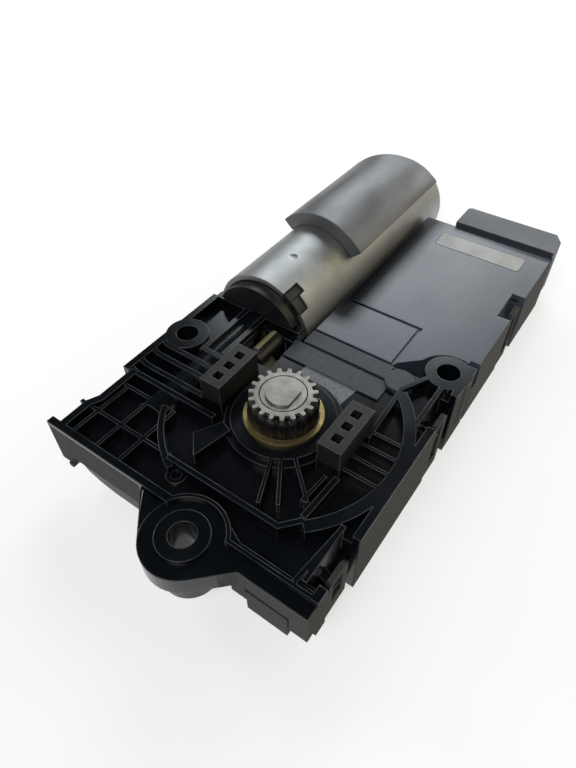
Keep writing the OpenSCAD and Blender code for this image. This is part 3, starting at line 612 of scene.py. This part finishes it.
@dataclass(frozen=True)
class FoamSkin(Finish):
    """Soft closed-cell foam: fine cells, a dull sheen and lighter worn patches."""

    color: Color = (0.038, 0.040, 0.045)
    # Tone of the foam's lighter worn patches.
    wear_and_edge_highlight: Color = (0.075, 0.078, 0.086)
    cell_scale: float = 1500.0
    rub_scale: float = 85.0
    rub_stretch: Color = (1.0, 0.45, 1.0)

    def make(self, sheet: NodeSheet) -> bpy.types.Material:
        """Cells for the skin, broad noise for worn patches.

        Args:
            sheet: the empty tree.

        Returns:
            The material.
        """
        cells = sheet.cells(sheet.coordinates(), self.cell_scale)
        rub = sheet.noise(sheet.coordinates(self.rub_stretch), self.rub_scale, 6.0, 0.62)
        tone = sheet.mix(sheet.ramp(rub, 0.42, 0.72), self.color, self.wear_and_edge_highlight)
        sheet.drive(Base_Color=tone, Roughness=sheet.ramp(rub, 0.35, 0.7, 0.44, 0.34))
        sheet.set(Sheen_Weight=0.08, Sheen_Roughness=0.4, Specular_IOR_Level=0.75)
        height = sheet.math("ADD", sheet.math("MULTIPLY", cells, 0.4), rub)
        sheet.relief(height, 0.00005)
        return sheet.material


@dataclass(frozen=True)
class Film(Finish):
    """Plain film: off-white, slightly yellowed."""

    color: Color = (0.35, 0.355, 0.35)
    aged: Color = (0.28, 0.27, 0.245)
    stain_scale: float = 180.0

    def make(self, sheet: NodeSheet) -> bpy.types.Material:
        """Soft stains over an even film.

        Args:
            sheet: the empty tree.

        Returns:
            The material.
        """
        stain = sheet.noise(sheet.coordinates(), self.stain_scale, 5.0, 0.6)
        tone = sheet.mix(sheet.ramp(stain, 0.45, 0.75), self.color, self.aged)
        sheet.drive(Base_Color=tone, Roughness=sheet.ramp(stain, 0.3, 0.7, 0.42, 0.6))
        sheet.relief(stain, 0.00002)
        return sheet.material


@dataclass(frozen=True)
class Grease(Finish):
    """Thick old grease: wet, lumpy, dark."""

    color: Color = (0.010, 0.009, 0.008)
    thin: Color = (0.09, 0.06, 0.02)
    roughness: Span = (0.16, 0.4)
    specular: float = 0.5
    lump_scale: float = 1100.0

    def make(self, sheet: NodeSheet) -> bpy.types.Material:
        """Lumps in height, tone and gloss from one noise.

        Args:
            sheet: the empty tree.

        Returns:
            The material.
        """
        lumps = sheet.noise(sheet.coordinates(), self.lump_scale, 5.0, 0.6)
        tone = sheet.mix(sheet.ramp(lumps, 0.5, 0.8), self.color, self.thin)
        sheet.drive(Base_Color=tone, Roughness=sheet.ramp(lumps, 0.3, 0.7, *self.roughness))
        sheet.set(Specular_IOR_Level=self.specular)
        sheet.relief(lumps, 0.0002)
        return sheet.material


BLOCK_SIDES = Zone((-0.0225, -0.0085, 0.0008), (0.0225, 0.0096, 0.0076), (0.022, 0.021, 0.019), 0.45)
BLOCK_TOPS = Zone((-0.0225, -0.0085, 0.0076), (0.0225, 0.0096, 0.0085), (0.082, 0.087, 0.09))
# Far strips and far flat: bluish grey tones that are painted reflection of the window light; the strips are
# also matte.
FAR_STRIPS = Zone((-0.0146, 0.0195, -0.0029), (0.0215, 0.0333, -0.0012), (0.058, 0.067, 0.08))
FAR_FLAT = Zone((-0.0067, 0.0115, -0.0029), (0.0094, 0.0199, -0.0026), (0.21, 0.23, 0.26), 0.45)
# Side walls and loop faces: matte, with a grey tone that is painted reflection of the pale floor, warm on the
# right side.
RIGHT_WALL = Zone((0.0323, -0.05, -0.03), (0.05, 0.2, -0.0003), (0.05, 0.047, 0.038), 0.9)
NEAR_WALL_LEFT = Zone((-0.06, -0.0356, -0.03), (-0.0155, -0.034, -0.0012), (0.068, 0.07, 0.066), 0.9)
NEAR_WALL_RIGHT = Zone((0.0125, -0.05, -0.03), (0.0323, -0.034, -0.0012), (0.075, 0.077, 0.073), 0.9)
LOOP_FACES = Zone((0.0295, -0.05, -0.03), (0.05, 0.2, -0.0003), (0.05, 0.047, 0.038), 0.9)
# Floor boxes under the housing and under the near ear's hole: painted shadow, dark and without glow.
UNDER_PART = Zone((-0.034, -0.024, -1.0), (0.026, 0.105, 1.0))
UNDER_EAR = Zone((-0.0145, -0.0345, -1.0), (-0.003, -0.0235, 1.0))

HOUSING = MouldedPlastic(
    "housing_gloss_black", "housing_plastic", (0.0016, 0.0028, 0.0042), (0.003, 0.0045, 0.0065), (0.14, 0.26),
    specular=0.34, edge_highlight_color=(0.09, 0.097, 0.107), edge_highlight_share=1.0,
    zones=(BLOCK_SIDES, BLOCK_TOPS, FAR_STRIPS, FAR_FLAT, RIGHT_WALL, NEAR_WALL_LEFT, NEAR_WALL_RIGHT))
PAN = MouldedPlastic(
    "pan_black", "pan_plastic", (0.007, 0.008, 0.0095), (0.013, 0.014, 0.016), (0.32, 0.5),
    specular=0.35, edge_highlight_share=0.6, zones=(LOOP_FACES, NEAR_WALL_RIGHT))
# The dark strip along the cover's left margin beside the can is a painted shadow of the can.
COVER = MouldedPlastic(
    "cover_slate", "cover_plastic", (0.032, 0.042, 0.060), (0.054, 0.067, 0.090), (0.27, 0.38),
    grain=0.00002, grain_scale=1900.0, dust=0.04, zones=(RIGHT_WALL,), can_shadow_x=(-0.0085, -0.003),
    edge_highlight_color=(0.16, 0.175, 0.2), edge_highlight_share=0.7)
SHROUD = MouldedPlastic(
    "shroud_slate", "cover_plastic", (0.032, 0.037, 0.049), (0.046, 0.052, 0.066), (0.45, 0.6),
    grain=0.00002, grain_scale=1900.0, edge_highlight_color=(0.12, 0.13, 0.15), edge_highlight_share=0.5)
CAN = DrawnSteel("can_plating", "plated_steel")
STAMPED = DrawnSteel("plate_stamping", "stamped_steel", (0.42, 0.42, 0.42), (0.3, 0.3, 0.3), along=Along.X)
SPRING = DrawnSteel("spring_wire", "spring_steel", (0.4, 0.4, 0.4), (0.28, 0.28, 0.28), along=Along.Z)
PINION = GreasedSteel("pinion_steel", "turned_steel", clean_radius=7.4 * MM, top=8.1 * MM, ring=5.75 * MM)
SHAFT = GreasedSteel("shaft_steel", "turned_steel", clean_radius=0.0, top=-1.0)
BRASS = CastMetal("bush_brass", "sintered_brass")
COPPER = CastMetal("winding_copper", "copper", (0.42, 0.16, 0.06), (0.3, 0.1, 0.04), (0.25, 0.4), 900.0)
CONTACTS = CastMetal("contact_tin", "tinned_contacts", (0.6, 0.52, 0.32), (0.5, 0.4, 0.22))
MAGNET = CastMetal("magnet_ferrite", "magnet", (0.02, 0.02, 0.021), (0.03, 0.03, 0.032), metallic=0.2)
LAMINATION = CastMetal("lamination_steel", "laminations", (0.22, 0.22, 0.225), (0.15, 0.15, 0.155))
CARBON = CastMetal("brush_carbon", "carbon", (0.02, 0.02, 0.02), (0.035, 0.035, 0.035), metallic=0.3)
WHEEL = MouldedPlastic("wheel_greased", "gear_plastic", (0.045, 0.038, 0.022), (0.14, 0.12, 0.075),
                       (0.3, 0.5))
# Holder's right part and foot: near black, painted shade of the dark recess they sit in.
HOLDER_END = Zone((-0.0204, -0.02, -0.03), (0.02, 0.06, 0.01), (0.012, 0.012, 0.011), 0.4)
HOLDER_FOOT = Zone((-0.05, -0.02, -0.03), (0.02, 0.0165, 0.01), (0.012, 0.012, 0.011), 0.4)
CREAM = MouldedPlastic("holder_cream", "cream_plastic", (0.22, 0.21, 0.115), (0.28, 0.265, 0.16), (0.3, 0.42),
                       zones=(HOLDER_END, HOLDER_FOOT))
RUBBER = MouldedPlastic("rubber_black", "rubber", (0.012, 0.012, 0.012), (0.018, 0.018, 0.018), (0.6, 0.75))
BOARD = MouldedPlastic("board_green", "board_laminate", (0.01, 0.09, 0.035), (0.015, 0.12, 0.05), (0.3, 0.4))
COMPONENT = MouldedPlastic("component_black", "black_component", (0.012, 0.012, 0.013), (0.02, 0.02, 0.022))
FOAM = FoamSkin("pad_foam", "foam")
LABEL = Film("label_sheet", "label_film")
BLACK_GREASE = Grease("grease_black", "turned_steel", (0.003, 0.003, 0.004), (0.012, 0.012, 0.012),
                      (0.2, 0.5), 0.4)
AMBER_GREASE = Grease("grease_amber", "sintered_brass", (0.035, 0.025, 0.009), (0.13, 0.095, 0.035))


def dress(names: list[str], finish: Finish) -> None:
    """Give CAD nodes a finish in place of their plain colour.

    Args:
        names: CAD nodes.
        finish: what they get.
    """
    for name in names:
        mesh = frame["nodes"][name].data
        mesh.materials.clear()
        mesh.materials.append(finish.build())
        LOG.info("dressed %s with %s", name, finish.name)


def closed_piece(name: str, points: np.ndarray, faces: list[list[int]], finish: Finish,
                 flat_faces: int = 0) -> bpy.types.Object:
    """Make an object from points and faces, its doubles merged and its faces turned outwards.

    Args:
        name: the object's name.
        points: array of shape (count, 3) in metres.
        faces: the numbers of each face's points.
        finish: its finish.
        flat_faces: how many of the last faces are shaded flat.

    Returns:
        The new object.
    """
    mesh = bpy.data.meshes.new(name)
    mesh.from_pydata(points.tolist(), [], faces)
    smooth = np.ones(len(faces), bool)
    smooth[len(faces) - flat_faces:] = False
    mesh.polygons.foreach_set("use_smooth", smooth)
    tidy = bmesh.new()
    tidy.from_mesh(mesh)
    bmesh.ops.remove_doubles(tidy, verts=tidy.verts, dist=MERGE_DISTANCE)
    bmesh.ops.recalc_face_normals(tidy, faces=tidy.faces)
    tidy.to_mesh(mesh)
    tidy.free()
    mesh.materials.append(finish.build())
    piece = bpy.data.objects.new(name, mesh)
    bpy.context.scene.collection.objects.link(piece)
    return piece


def grid_mesh(name: str, points: np.ndarray, finish: Finish, looped: bool = False) -> bpy.types.Object:
    """Make a tube from a grid of points, where each row is a closed ring.

    Each face joins a point, the next one in its row and the two below them.

    Args:
        name: the object's name.
        points: array of shape (rows, columns, 3) in metres.
        finish: its finish.
        looped: whether the last row meets the first; otherwise both ends get caps.

    Returns:
        The new object.
    """
    rows, columns = points.shape[:2]
    index = np.arange(rows * columns).reshape(rows, columns)
    here = index if looped else index[:-1]
    down = np.roll(index, -1, 0) if looped else index[1:]
    quads = np.stack([here, np.roll(here, -1, 1), np.roll(down, -1, 1), down], -1).reshape(-1, 4)
    caps = [] if looped else [index[0, ::-1].tolist(), index[-1].tolist()]
    return closed_piece(name, points.reshape(-1, 3), quads.tolist() + caps, finish)


def slab_mesh(name: str, upper: np.ndarray, lower: np.ndarray, finish: Finish) -> bpy.types.Object:
    """Make a closed slab between two grids of points of the same shape.

    A flat wall runs round the rim and joins each rim point to the one below it.

    Args:
        name: the object's name.
        upper: outer face, array of shape (rows, columns, 3) in metres.
        lower: inner face, the same shape.
        finish: its finish.

    Returns:
        The new object.
    """
    rows, columns = upper.shape[:2]
    index = np.arange(rows * columns).reshape(rows, columns)
    face = np.stack([index[:-1, :-1], index[:-1, 1:], index[1:, 1:], index[1:, :-1]], -1).reshape(-1, 4)
    rim = np.concatenate([index[0, :-1], index[:-1, -1], index[-1, :0:-1], index[:0:-1, 0]])
    wall = np.stack([rim, np.roll(rim, -1), np.roll(rim, -1) + index.size, rim + index.size], -1)
    quads = np.concatenate([face[:, ::-1], face + index.size, wall])
    points = np.concatenate([upper.reshape(-1, 3), lower.reshape(-1, 3)])
    return closed_piece(name, points, quads.tolist(), finish, flat_faces=len(wall))


def mount(piece: bpy.types.Object, body: str, finish: Finish) -> None:
    """Ride a piece on a body.

    Args:
        piece: the piece, in place.
        body: CAD body it moves with.
        finish: not used.
    """
    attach(piece, body)
    LOG.info("built %s on %s", piece.name, body)


@dataclass
class GearHousing:
    """The flat housing with its pan."""

    near_boss: Point = field(default_factory=lambda: mount_point("near_hole"))
    ear_radius: float = 9.7 * MM
    web_sink: float = 0.05 * MM
    web_step: float = 0.04 * MM
    web_turn: Span = (225, 157)
    web_reach: float = 16.2 * MM
    web_top: float = -1.03 * MM
    web_depth: float = 5.4 * MM
    web_grid: tuple[int, int] = (6, 24)
    wall_y: float = -34.45 * MM

    def build(self) -> None:
        """Dress the housing, the pan and the sensor's holder, and build the ear's web."""
        dress(["gear_housing"], HOUSING)
        dress(["bottom_pan"], PAN)
        dress(["sensor_holder"], CREAM)
        self.ear_web()

    def ear_web(self) -> None:
        """Flat web that carries the near ear's left side out to the wall.

        Its inner edge follows the ear's round; its outer edge is the straight line from the round's
        tangent point to a point on the wall. Points between are spread evenly.
        """
        rows, columns = self.web_grid
        turn = np.radians(np.linspace(*self.web_turn, columns))[None, :]
        share = np.linspace(0, 1, rows)[:, None]
        line = np.linspace(0, 1, columns)[None, :]
        radius = self.ear_radius - self.web_sink
        round_x = self.near_boss[0] + radius * np.cos(turn)
        round_y = self.near_boss[1] + radius * np.sin(turn)
        start = (round_x[0, 0] - self.web_step, round_y[0, 0] - self.web_step)
        end = (self.near_boss[0] - self.web_reach, self.wall_y)
        x = round_x + share * (start[0] + (end[0] - start[0]) * line - round_x)
        y = round_y + share * (start[1] + (end[1] - start[1]) * line - round_y)
        top, bottom = (np.stack([x, y, np.full_like(x, z)], -1)
                       for z in (self.web_top, self.web_top - self.web_depth))
        mount(slab_mesh("ear_web", top, bottom, HOUSING), "housing", HOUSING)


@dataclass
class Motor:
    """The motor in its can, with the foam sheet that wraps it."""

    axis: Point = field(default_factory=lambda: joint_point("armature_spin"))
    can_side: float = field(default_factory=lambda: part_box("motor_can")[1].x)
    pad_gap: float = 0.05 * MM
    pad_thickness: float = 4.3 * MM
    pad_hollow: float = 0.5 * MM
    pad_edge: float = 0.9 * MM
    pad_edge_steps: int = 4
    pad_edge_angle: float = math.radians(50)
    pad_sides: Span = (math.radians(42), math.radians(138))
    pad_front: Span = (60.0 * MM, 62.6 * MM)
    pad_back: Span = (113.6 * MM, 108.4 * MM)
    pad_grid: tuple[int, int] = (110, 72)
    wire_radius: float = 0.3 * MM
    wire_sides: int = 10
    coil_radius: float = 1.3 * MM
    coil_turns: int = 3
    coil_steps: int = 30

    def build(self) -> None:
        """Dress the motor's parts and build the pad and the springs."""
        dress(["motor_can"], CAN)
        dress(["brush_holder", "motor_clip"], PAN)
        dress(["armature_shaft", "worm"], SHAFT)
        dress(["magnets", "sensor_magnet"], MAGNET)
        dress(["armature_core"], LAMINATION)
        dress(["windings", "commutator"], COPPER)
        dress(["brush_left", "brush_right"], CARBON)
        dress(["rear_bearing", "mid_bearing", "front_bearing"], BRASS)
        self.pad()
        self.spring("spring_left", "brush_left", -1)
        self.spring("spring_right", "brush_right", 1)

    def spring(self, node: str, brush: str, side: int) -> None:
        """Coil spring between the housing and its brush.

        The wire's centre runs evenly along X while it turns round the spring's axis. The wire's
        round section lies in the plane of the axis and the outward direction.

        Args:
            node: CAD node that the spring stands for.
            brush: the brush at the spring's inner end, only named in the log.
            side: -1 on the left of the motor's axis and 1 on the right.
        """
        low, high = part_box(node)
        inner, outer = (low.x, high.x) if side > 0 else (high.x, low.x)
        share = np.linspace(0, 1, self.coil_steps * self.coil_turns + 1)[:, None]
        turn = 2 * math.pi * self.coil_turns * share
        section = np.linspace(0, 2 * math.pi, self.wire_sides, endpoint=False)[None, :]
        reach = self.coil_radius + self.wire_radius * np.cos(section)
        x = inner + side * self.wire_radius + (outer - inner - 2 * side * self.wire_radius) * share
        x = x + self.wire_radius * np.sin(section)
        y = (low.y + high.y) / 2 + reach * np.cos(turn)
        z = (low.z + high.z) / 2 + reach * np.sin(turn)
        piece = grid_mesh(f"{node}_coil", np.stack([x, y, z], -1), SPRING)
        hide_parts(node)
        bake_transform(piece)
        LOG.info("built %s between the housing and %s", piece.name, brush)

    def pad(self) -> None:
        """Foam sheet bent round the can, cut a little askew at both ends.

        A point of the sheet has an angle about the motor's axis and a distance along it; both end
        cuts run straight from one side's distance to the other's. The outer face lies one thickness
        over the inner one, less a few slow hollows that fade out towards the edges.
        """
        rows, columns = self.pad_grid
        across = np.linspace(0, 1, columns)[None, :]
        along = np.linspace(0, 1, rows)[:, None]
        angle = self.pad_sides[0] + (self.pad_sides[1] - self.pad_sides[0]) * across
        front = self.pad_front[0] + (self.pad_front[1] - self.pad_front[0]) * across
        back = self.pad_back[0] + (self.pad_back[1] - self.pad_back[0]) * across
        y = front + (back - front) * along
        inland = (4 * across * (1 - across)) ** 0.5 * (4 * along * (1 - along)) ** 0.5
        hollow = (0.5 + 0.25 * np.sin(6.0 * along + 3.0 * across)
                  + 0.15 * np.sin(13.0 * along - 7.0 * across + 1.0)
                  + 0.1 * np.sin(21.0 * across + 5.0 * along))
        inner = np.full_like(hollow, self.can_side - self.axis[0] + self.pad_gap)
        outer = inner + self.pad_thickness - self.pad_hollow * hollow * inland
        upper, lower = (np.stack([self.axis[0] + radius * np.cos(angle), y,
                                  self.axis[2] + radius * np.sin(angle)], -1) for radius in (outer, inner))
        piece = slab_mesh("foam_wrap", upper, lower, FOAM)
        ease = piece.modifiers.new("eased_edges", "BEVEL")
        ease.width = self.pad_edge
        ease.segments = self.pad_edge_steps
        ease.limit_method = "ANGLE"
        ease.angle_limit = self.pad_edge_angle
        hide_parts("foam_pad")
        mount(piece, "housing", FOAM)


@dataclass
class Controller:
    """The controller's case, board and connector."""

    def build(self) -> None:
        """Dress the case and what is in it."""
        dress(["controller_base"], PAN)
        dress(["controller_cover"], COVER)
        dress(["connector_shroud"], SHROUD)
        dress(["circuit_board"], BOARD)
        dress(["relays", "capacitor", "control_chip"], COMPONENT)
        dress(["terminal_pins"], CONTACTS)
        dress(["label"], LABEL)


@dataclass
class OutputDrive:
    """The wheel's shaft, its bush and the pinion with old grease on it."""

    teeth: int = 19
    tip_radius: float = 8.3 * MM
    pinion_low: float = field(default_factory=lambda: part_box("drive_pinion")[0].z)
    pinion_high: float = field(default_factory=lambda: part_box("drive_pinion")[1].z)
    bush_top: float = field(default_factory=lambda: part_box("output_bush")[1].z)
    grease_foot: float = 0.15 * MM
    grease_rim: float = 1.1 * MM
    rim_lean: float = 0.7 * MM
    rim_ragged: float = 0.3 * MM
    rim_gap: float = 0.5 * MM
    core_radius: float = 6.6 * MM
    swell: float = 0.42 * MM
    streak_height: float = 0.13 * MM
    gap_depth: float = 0.3 * MM
    end_shrink: float = 0.9 * MM
    smear_inner: float = 7.2 * MM
    smear_outer: float = 8.7 * MM
    smear_wander: float = 0.35 * MM
    smear_gap: float = 0.005 * MM
    smear_height: float = 0.1 * MM

    def build(self) -> None:
        """Dress the drive and put grease on it."""
        dress(["drive_pinion"], PINION)
        dress(["output_shaft"], SHAFT)
        dress(["output_bush"], BRASS)
        dress(["worm_wheel"], WHEEL)
        dress(["driver_plate"], STAMPED)
        dress(["circlip"], SPRING)
        dress(["damper", "shaft_seal"], RUBBER)
        self.tooth_grease()
        self.bush_grease()

    def tooth_grease(self) -> None:
        """Old grease that the cables left over the teeth's sides.

        Radius = tip radius + fine upright streaks, drawn in at the foot and the rim, with a dip at
        each gap between teeth. The rim's height wanders, lower on the left than near the viewer.
        """
        angle = np.linspace(0, 2 * math.pi, 760, endpoint=False)
        level = np.linspace(0, 1, 26)[:, None]
        gap = 0.5 - 0.5 * np.cos(self.teeth * angle)
        streak = (np.sin(61 * angle + 0.4) * np.sin(17 * angle) + 0.7 * np.sin(97 * angle + 2.0 + 3 * level)
                  + 0.5 * np.sin(151 * angle + 5 * level) + 0.6 * np.sin(37 * angle - 4 * level))
        lean = 0.5 + 0.5 * np.cos(angle + 1.0)
        ragged = 0.5 * np.sin(43 * angle + 1.0) + 0.35 * np.sin(71 * angle) + 0.4 * np.sin(11 * angle + 2.0)
        foot = self.pinion_low - self.grease_foot
        rim = (self.pinion_high - self.grease_rim - self.rim_lean * (1 - lean)
               - self.rim_ragged * (1 - ragged) + self.rim_gap * gap)
        height = foot + (rim - foot) * level
        body = 1 - 0.6 * level ** 10 - 0.25 * (1 - level) ** 3
        swell = (self.swell + self.streak_height * streak * (1 - level ** 4)
                 - self.gap_depth * gap * (0.6 + 0.4 * level))
        radius = self.tip_radius + swell * body - (1 - body) * self.end_shrink
        ring = np.stack([radius * np.cos(angle), radius * np.sin(angle), height], -1)
        core = self.core_radius * np.stack([np.cos(angle), np.sin(angle)])
        bottom, top = (np.stack([*core, z], -1)[None] for z in (np.full_like(angle, foot), height[-1]))
        points = np.concatenate([bottom, ring, top])
        mount(grid_mesh("tooth_grease", points, BLACK_GREASE, looped=True), "output", BLACK_GREASE)

    def bush_grease(self) -> None:
        """A thin smear on the bush's flange: a flat ring with a wandering rim and a rounded lip."""
        angle = np.linspace(0, 2 * math.pi, 240, endpoint=False)
        wander = 0.5 * np.sin(2 * angle + 1.0) + 0.3 * np.sin(5 * angle) + 0.2 * np.sin(11 * angle + 2.0)
        rim = self.smear_outer + self.smear_wander * wander
        level = np.array([0.0, 0.0, 0.5, 0.86, 1.0, 0.8])[:, None]
        share = np.array([0.0, 1.0, 1.0, 0.97, 0.9, 0.0])[:, None]
        radius = self.smear_inner + (rim - self.smear_inner) * share
        height = np.broadcast_to(self.bush_top + self.smear_gap + self.smear_height * level, radius.shape)
        points = np.stack([radius * np.cos(angle), radius * np.sin(angle), height], -1)
        mount(grid_mesh("bush_grease", points, AMBER_GREASE, looped=True), "housing", AMBER_GREASE)


@dataclass(frozen=True)
class Lamp:
    """A rectangular soft light: its place, the point it faces, its size in metres, its power in watts."""

    name: str
    at: Point
    to: Point
    size: Span
    power: float
    color: Color = (1.0, 1.0, 1.0)

    def build(self) -> None:
        """Add the light to the scene."""
        data = bpy.data.lights.new(self.name, "AREA")
        data.shape = "RECTANGLE"
        data.size, data.size_y = self.size
        data.energy = self.power
        data.color = self.color
        lamp = bpy.data.objects.new(self.name, data)
        lamp.location = self.at
        lamp.rotation_euler = (Vector(self.to) - Vector(self.at)).to_track_quat("-Z", "Y").to_euler()
        bpy.context.scene.collection.objects.link(lamp)


LAMPS = (
    Lamp("window_light", (-0.392, 0.782, 0.53), (0.0, 0.03, 0.0), (0.54, 0.42), 3.7, (0.9, 0.96, 1.0)),
    Lamp("front_light", (0.1, -0.75, 0.85), (0.0, 0.03, 0.0), (0.7, 0.5), 7.0),
    Lamp("left_light", (-0.9, 0.0, 0.45), (0.0, 0.0, 0.0), (0.25, 0.25), 1.8),
    Lamp("far_strip", (0.05, 0.95, 0.3), (0.0, 0.0, 0.0), (0.5, 0.07), 3.0),
    Lamp("warm_card", (0.62, 0.62, 0.5), (0.0, 0.05, 0.0), (0.6, 0.6), 1.9, (1.0, 0.88, 0.62)),
)


@dataclass
class Studio:
    """Floor, lights and camera."""

    eye: Vector = field(default_factory=lambda: Vector((0.05444, -0.07451, 0.11007)))
    right: Vector = field(default_factory=lambda: Vector((0.818, 0.575, -0.006)))
    forward: Vector = field(default_factory=lambda: Vector((-0.396, 0.556, -0.731)))
    focal: float = 27.405
    sensor: float = 36.0
    nearest: float = 5.0 * MM
    floor_half: float = 3.0
    floor_z: float = CAD_BOX[0][2]
    floor_tone: Color = (0.5, 0.5, 0.5)
    # Floor tone in the painted shadow under the part.
    painted_shadow_tone: Color = (0.1, 0.1, 0.1)
    floor_glow: float = 0.58
    surroundings: float = 0.05

    def build(self) -> None:
        """Put everything in place."""
        self.floor()
        for lamp in LAMPS:
            lamp.build()
        self.world()
        self.camera()

    def floor(self) -> None:
        """Pale floor under the part, with a painted shadow where the part covers it."""
        half = self.floor_half
        corners = [(-half, -half), (half, -half), (half, half), (-half, half)]
        mesh = bpy.data.meshes.new("floor")
        mesh.from_pydata([(*corner, self.floor_z) for corner in corners], [], [(0, 1, 2, 3)])
        piece = bpy.data.objects.new("floor", mesh)
        bpy.context.scene.collection.objects.link(piece)
        mesh.materials.append(self.paper())

    def paper(self) -> bpy.types.Material:
        """The floor's pale paper: it glows evenly, except in a painted shadow under the part and under the
        near ear's hole.

        Returns:
            The material.
        """
        sheet = NodeSheet("floor_paper")
        sheet.set(Roughness=0.9, Specular_IOR_Level=0.1, Emission_Color=(1.0, 1.0, 1.0))
        ground = sheet.coordinates()
        in_shadow = sheet.math("MAXIMUM", sheet.inside(ground, UNDER_PART), sheet.inside(ground, UNDER_EAR))
        sheet.drive(Base_Color=sheet.mix(in_shadow, self.floor_tone, self.painted_shadow_tone),
                    Emission_Strength=sheet.ramp(in_shadow, 0.0, 1.0, self.floor_glow, 0.0))
        return sheet.material

    def world(self) -> None:
        """Even white surroundings."""
        world = bpy.data.worlds.new("studio_world")
        world.use_nodes = True
        background = world.node_tree.nodes["Background"]
        background.inputs["Color"].default_value = (1.0, 1.0, 1.0, 1.0)
        background.inputs["Strength"].default_value = self.surroundings
        bpy.context.scene.world = world
        bpy.context.scene.view_settings.view_transform = "Standard"

    def camera(self) -> None:
        """Camera at the photograph's angle, distance and focal length."""
        data = bpy.data.cameras.new("camera")
        data.lens = self.focal
        data.sensor_width = self.sensor
        data.clip_start = self.nearest
        camera = bpy.data.objects.new("camera", data)
        back = -self.forward.normalized()
        right = (self.right - back * self.right.dot(back)).normalized()
        up = back.cross(right)
        turn = Matrix((right, up, back)).transposed()
        camera.matrix_world = Matrix.Translation(self.eye) @ turn.to_4x4()
        bpy.context.scene.collection.objects.link(camera)
        bpy.context.scene.camera = camera


def main() -> None:
    """Build the sub-assemblies in order, then the studio."""
    logging.basicConfig(level=logging.INFO, format="%(message)s")
    for part in (GearHousing(), Motor(), Controller(), OutputDrive(), Studio()):
        part.build()
        LOG.info("finished %s", type(part).__name__)


if __name__ == "__main__":
    main()
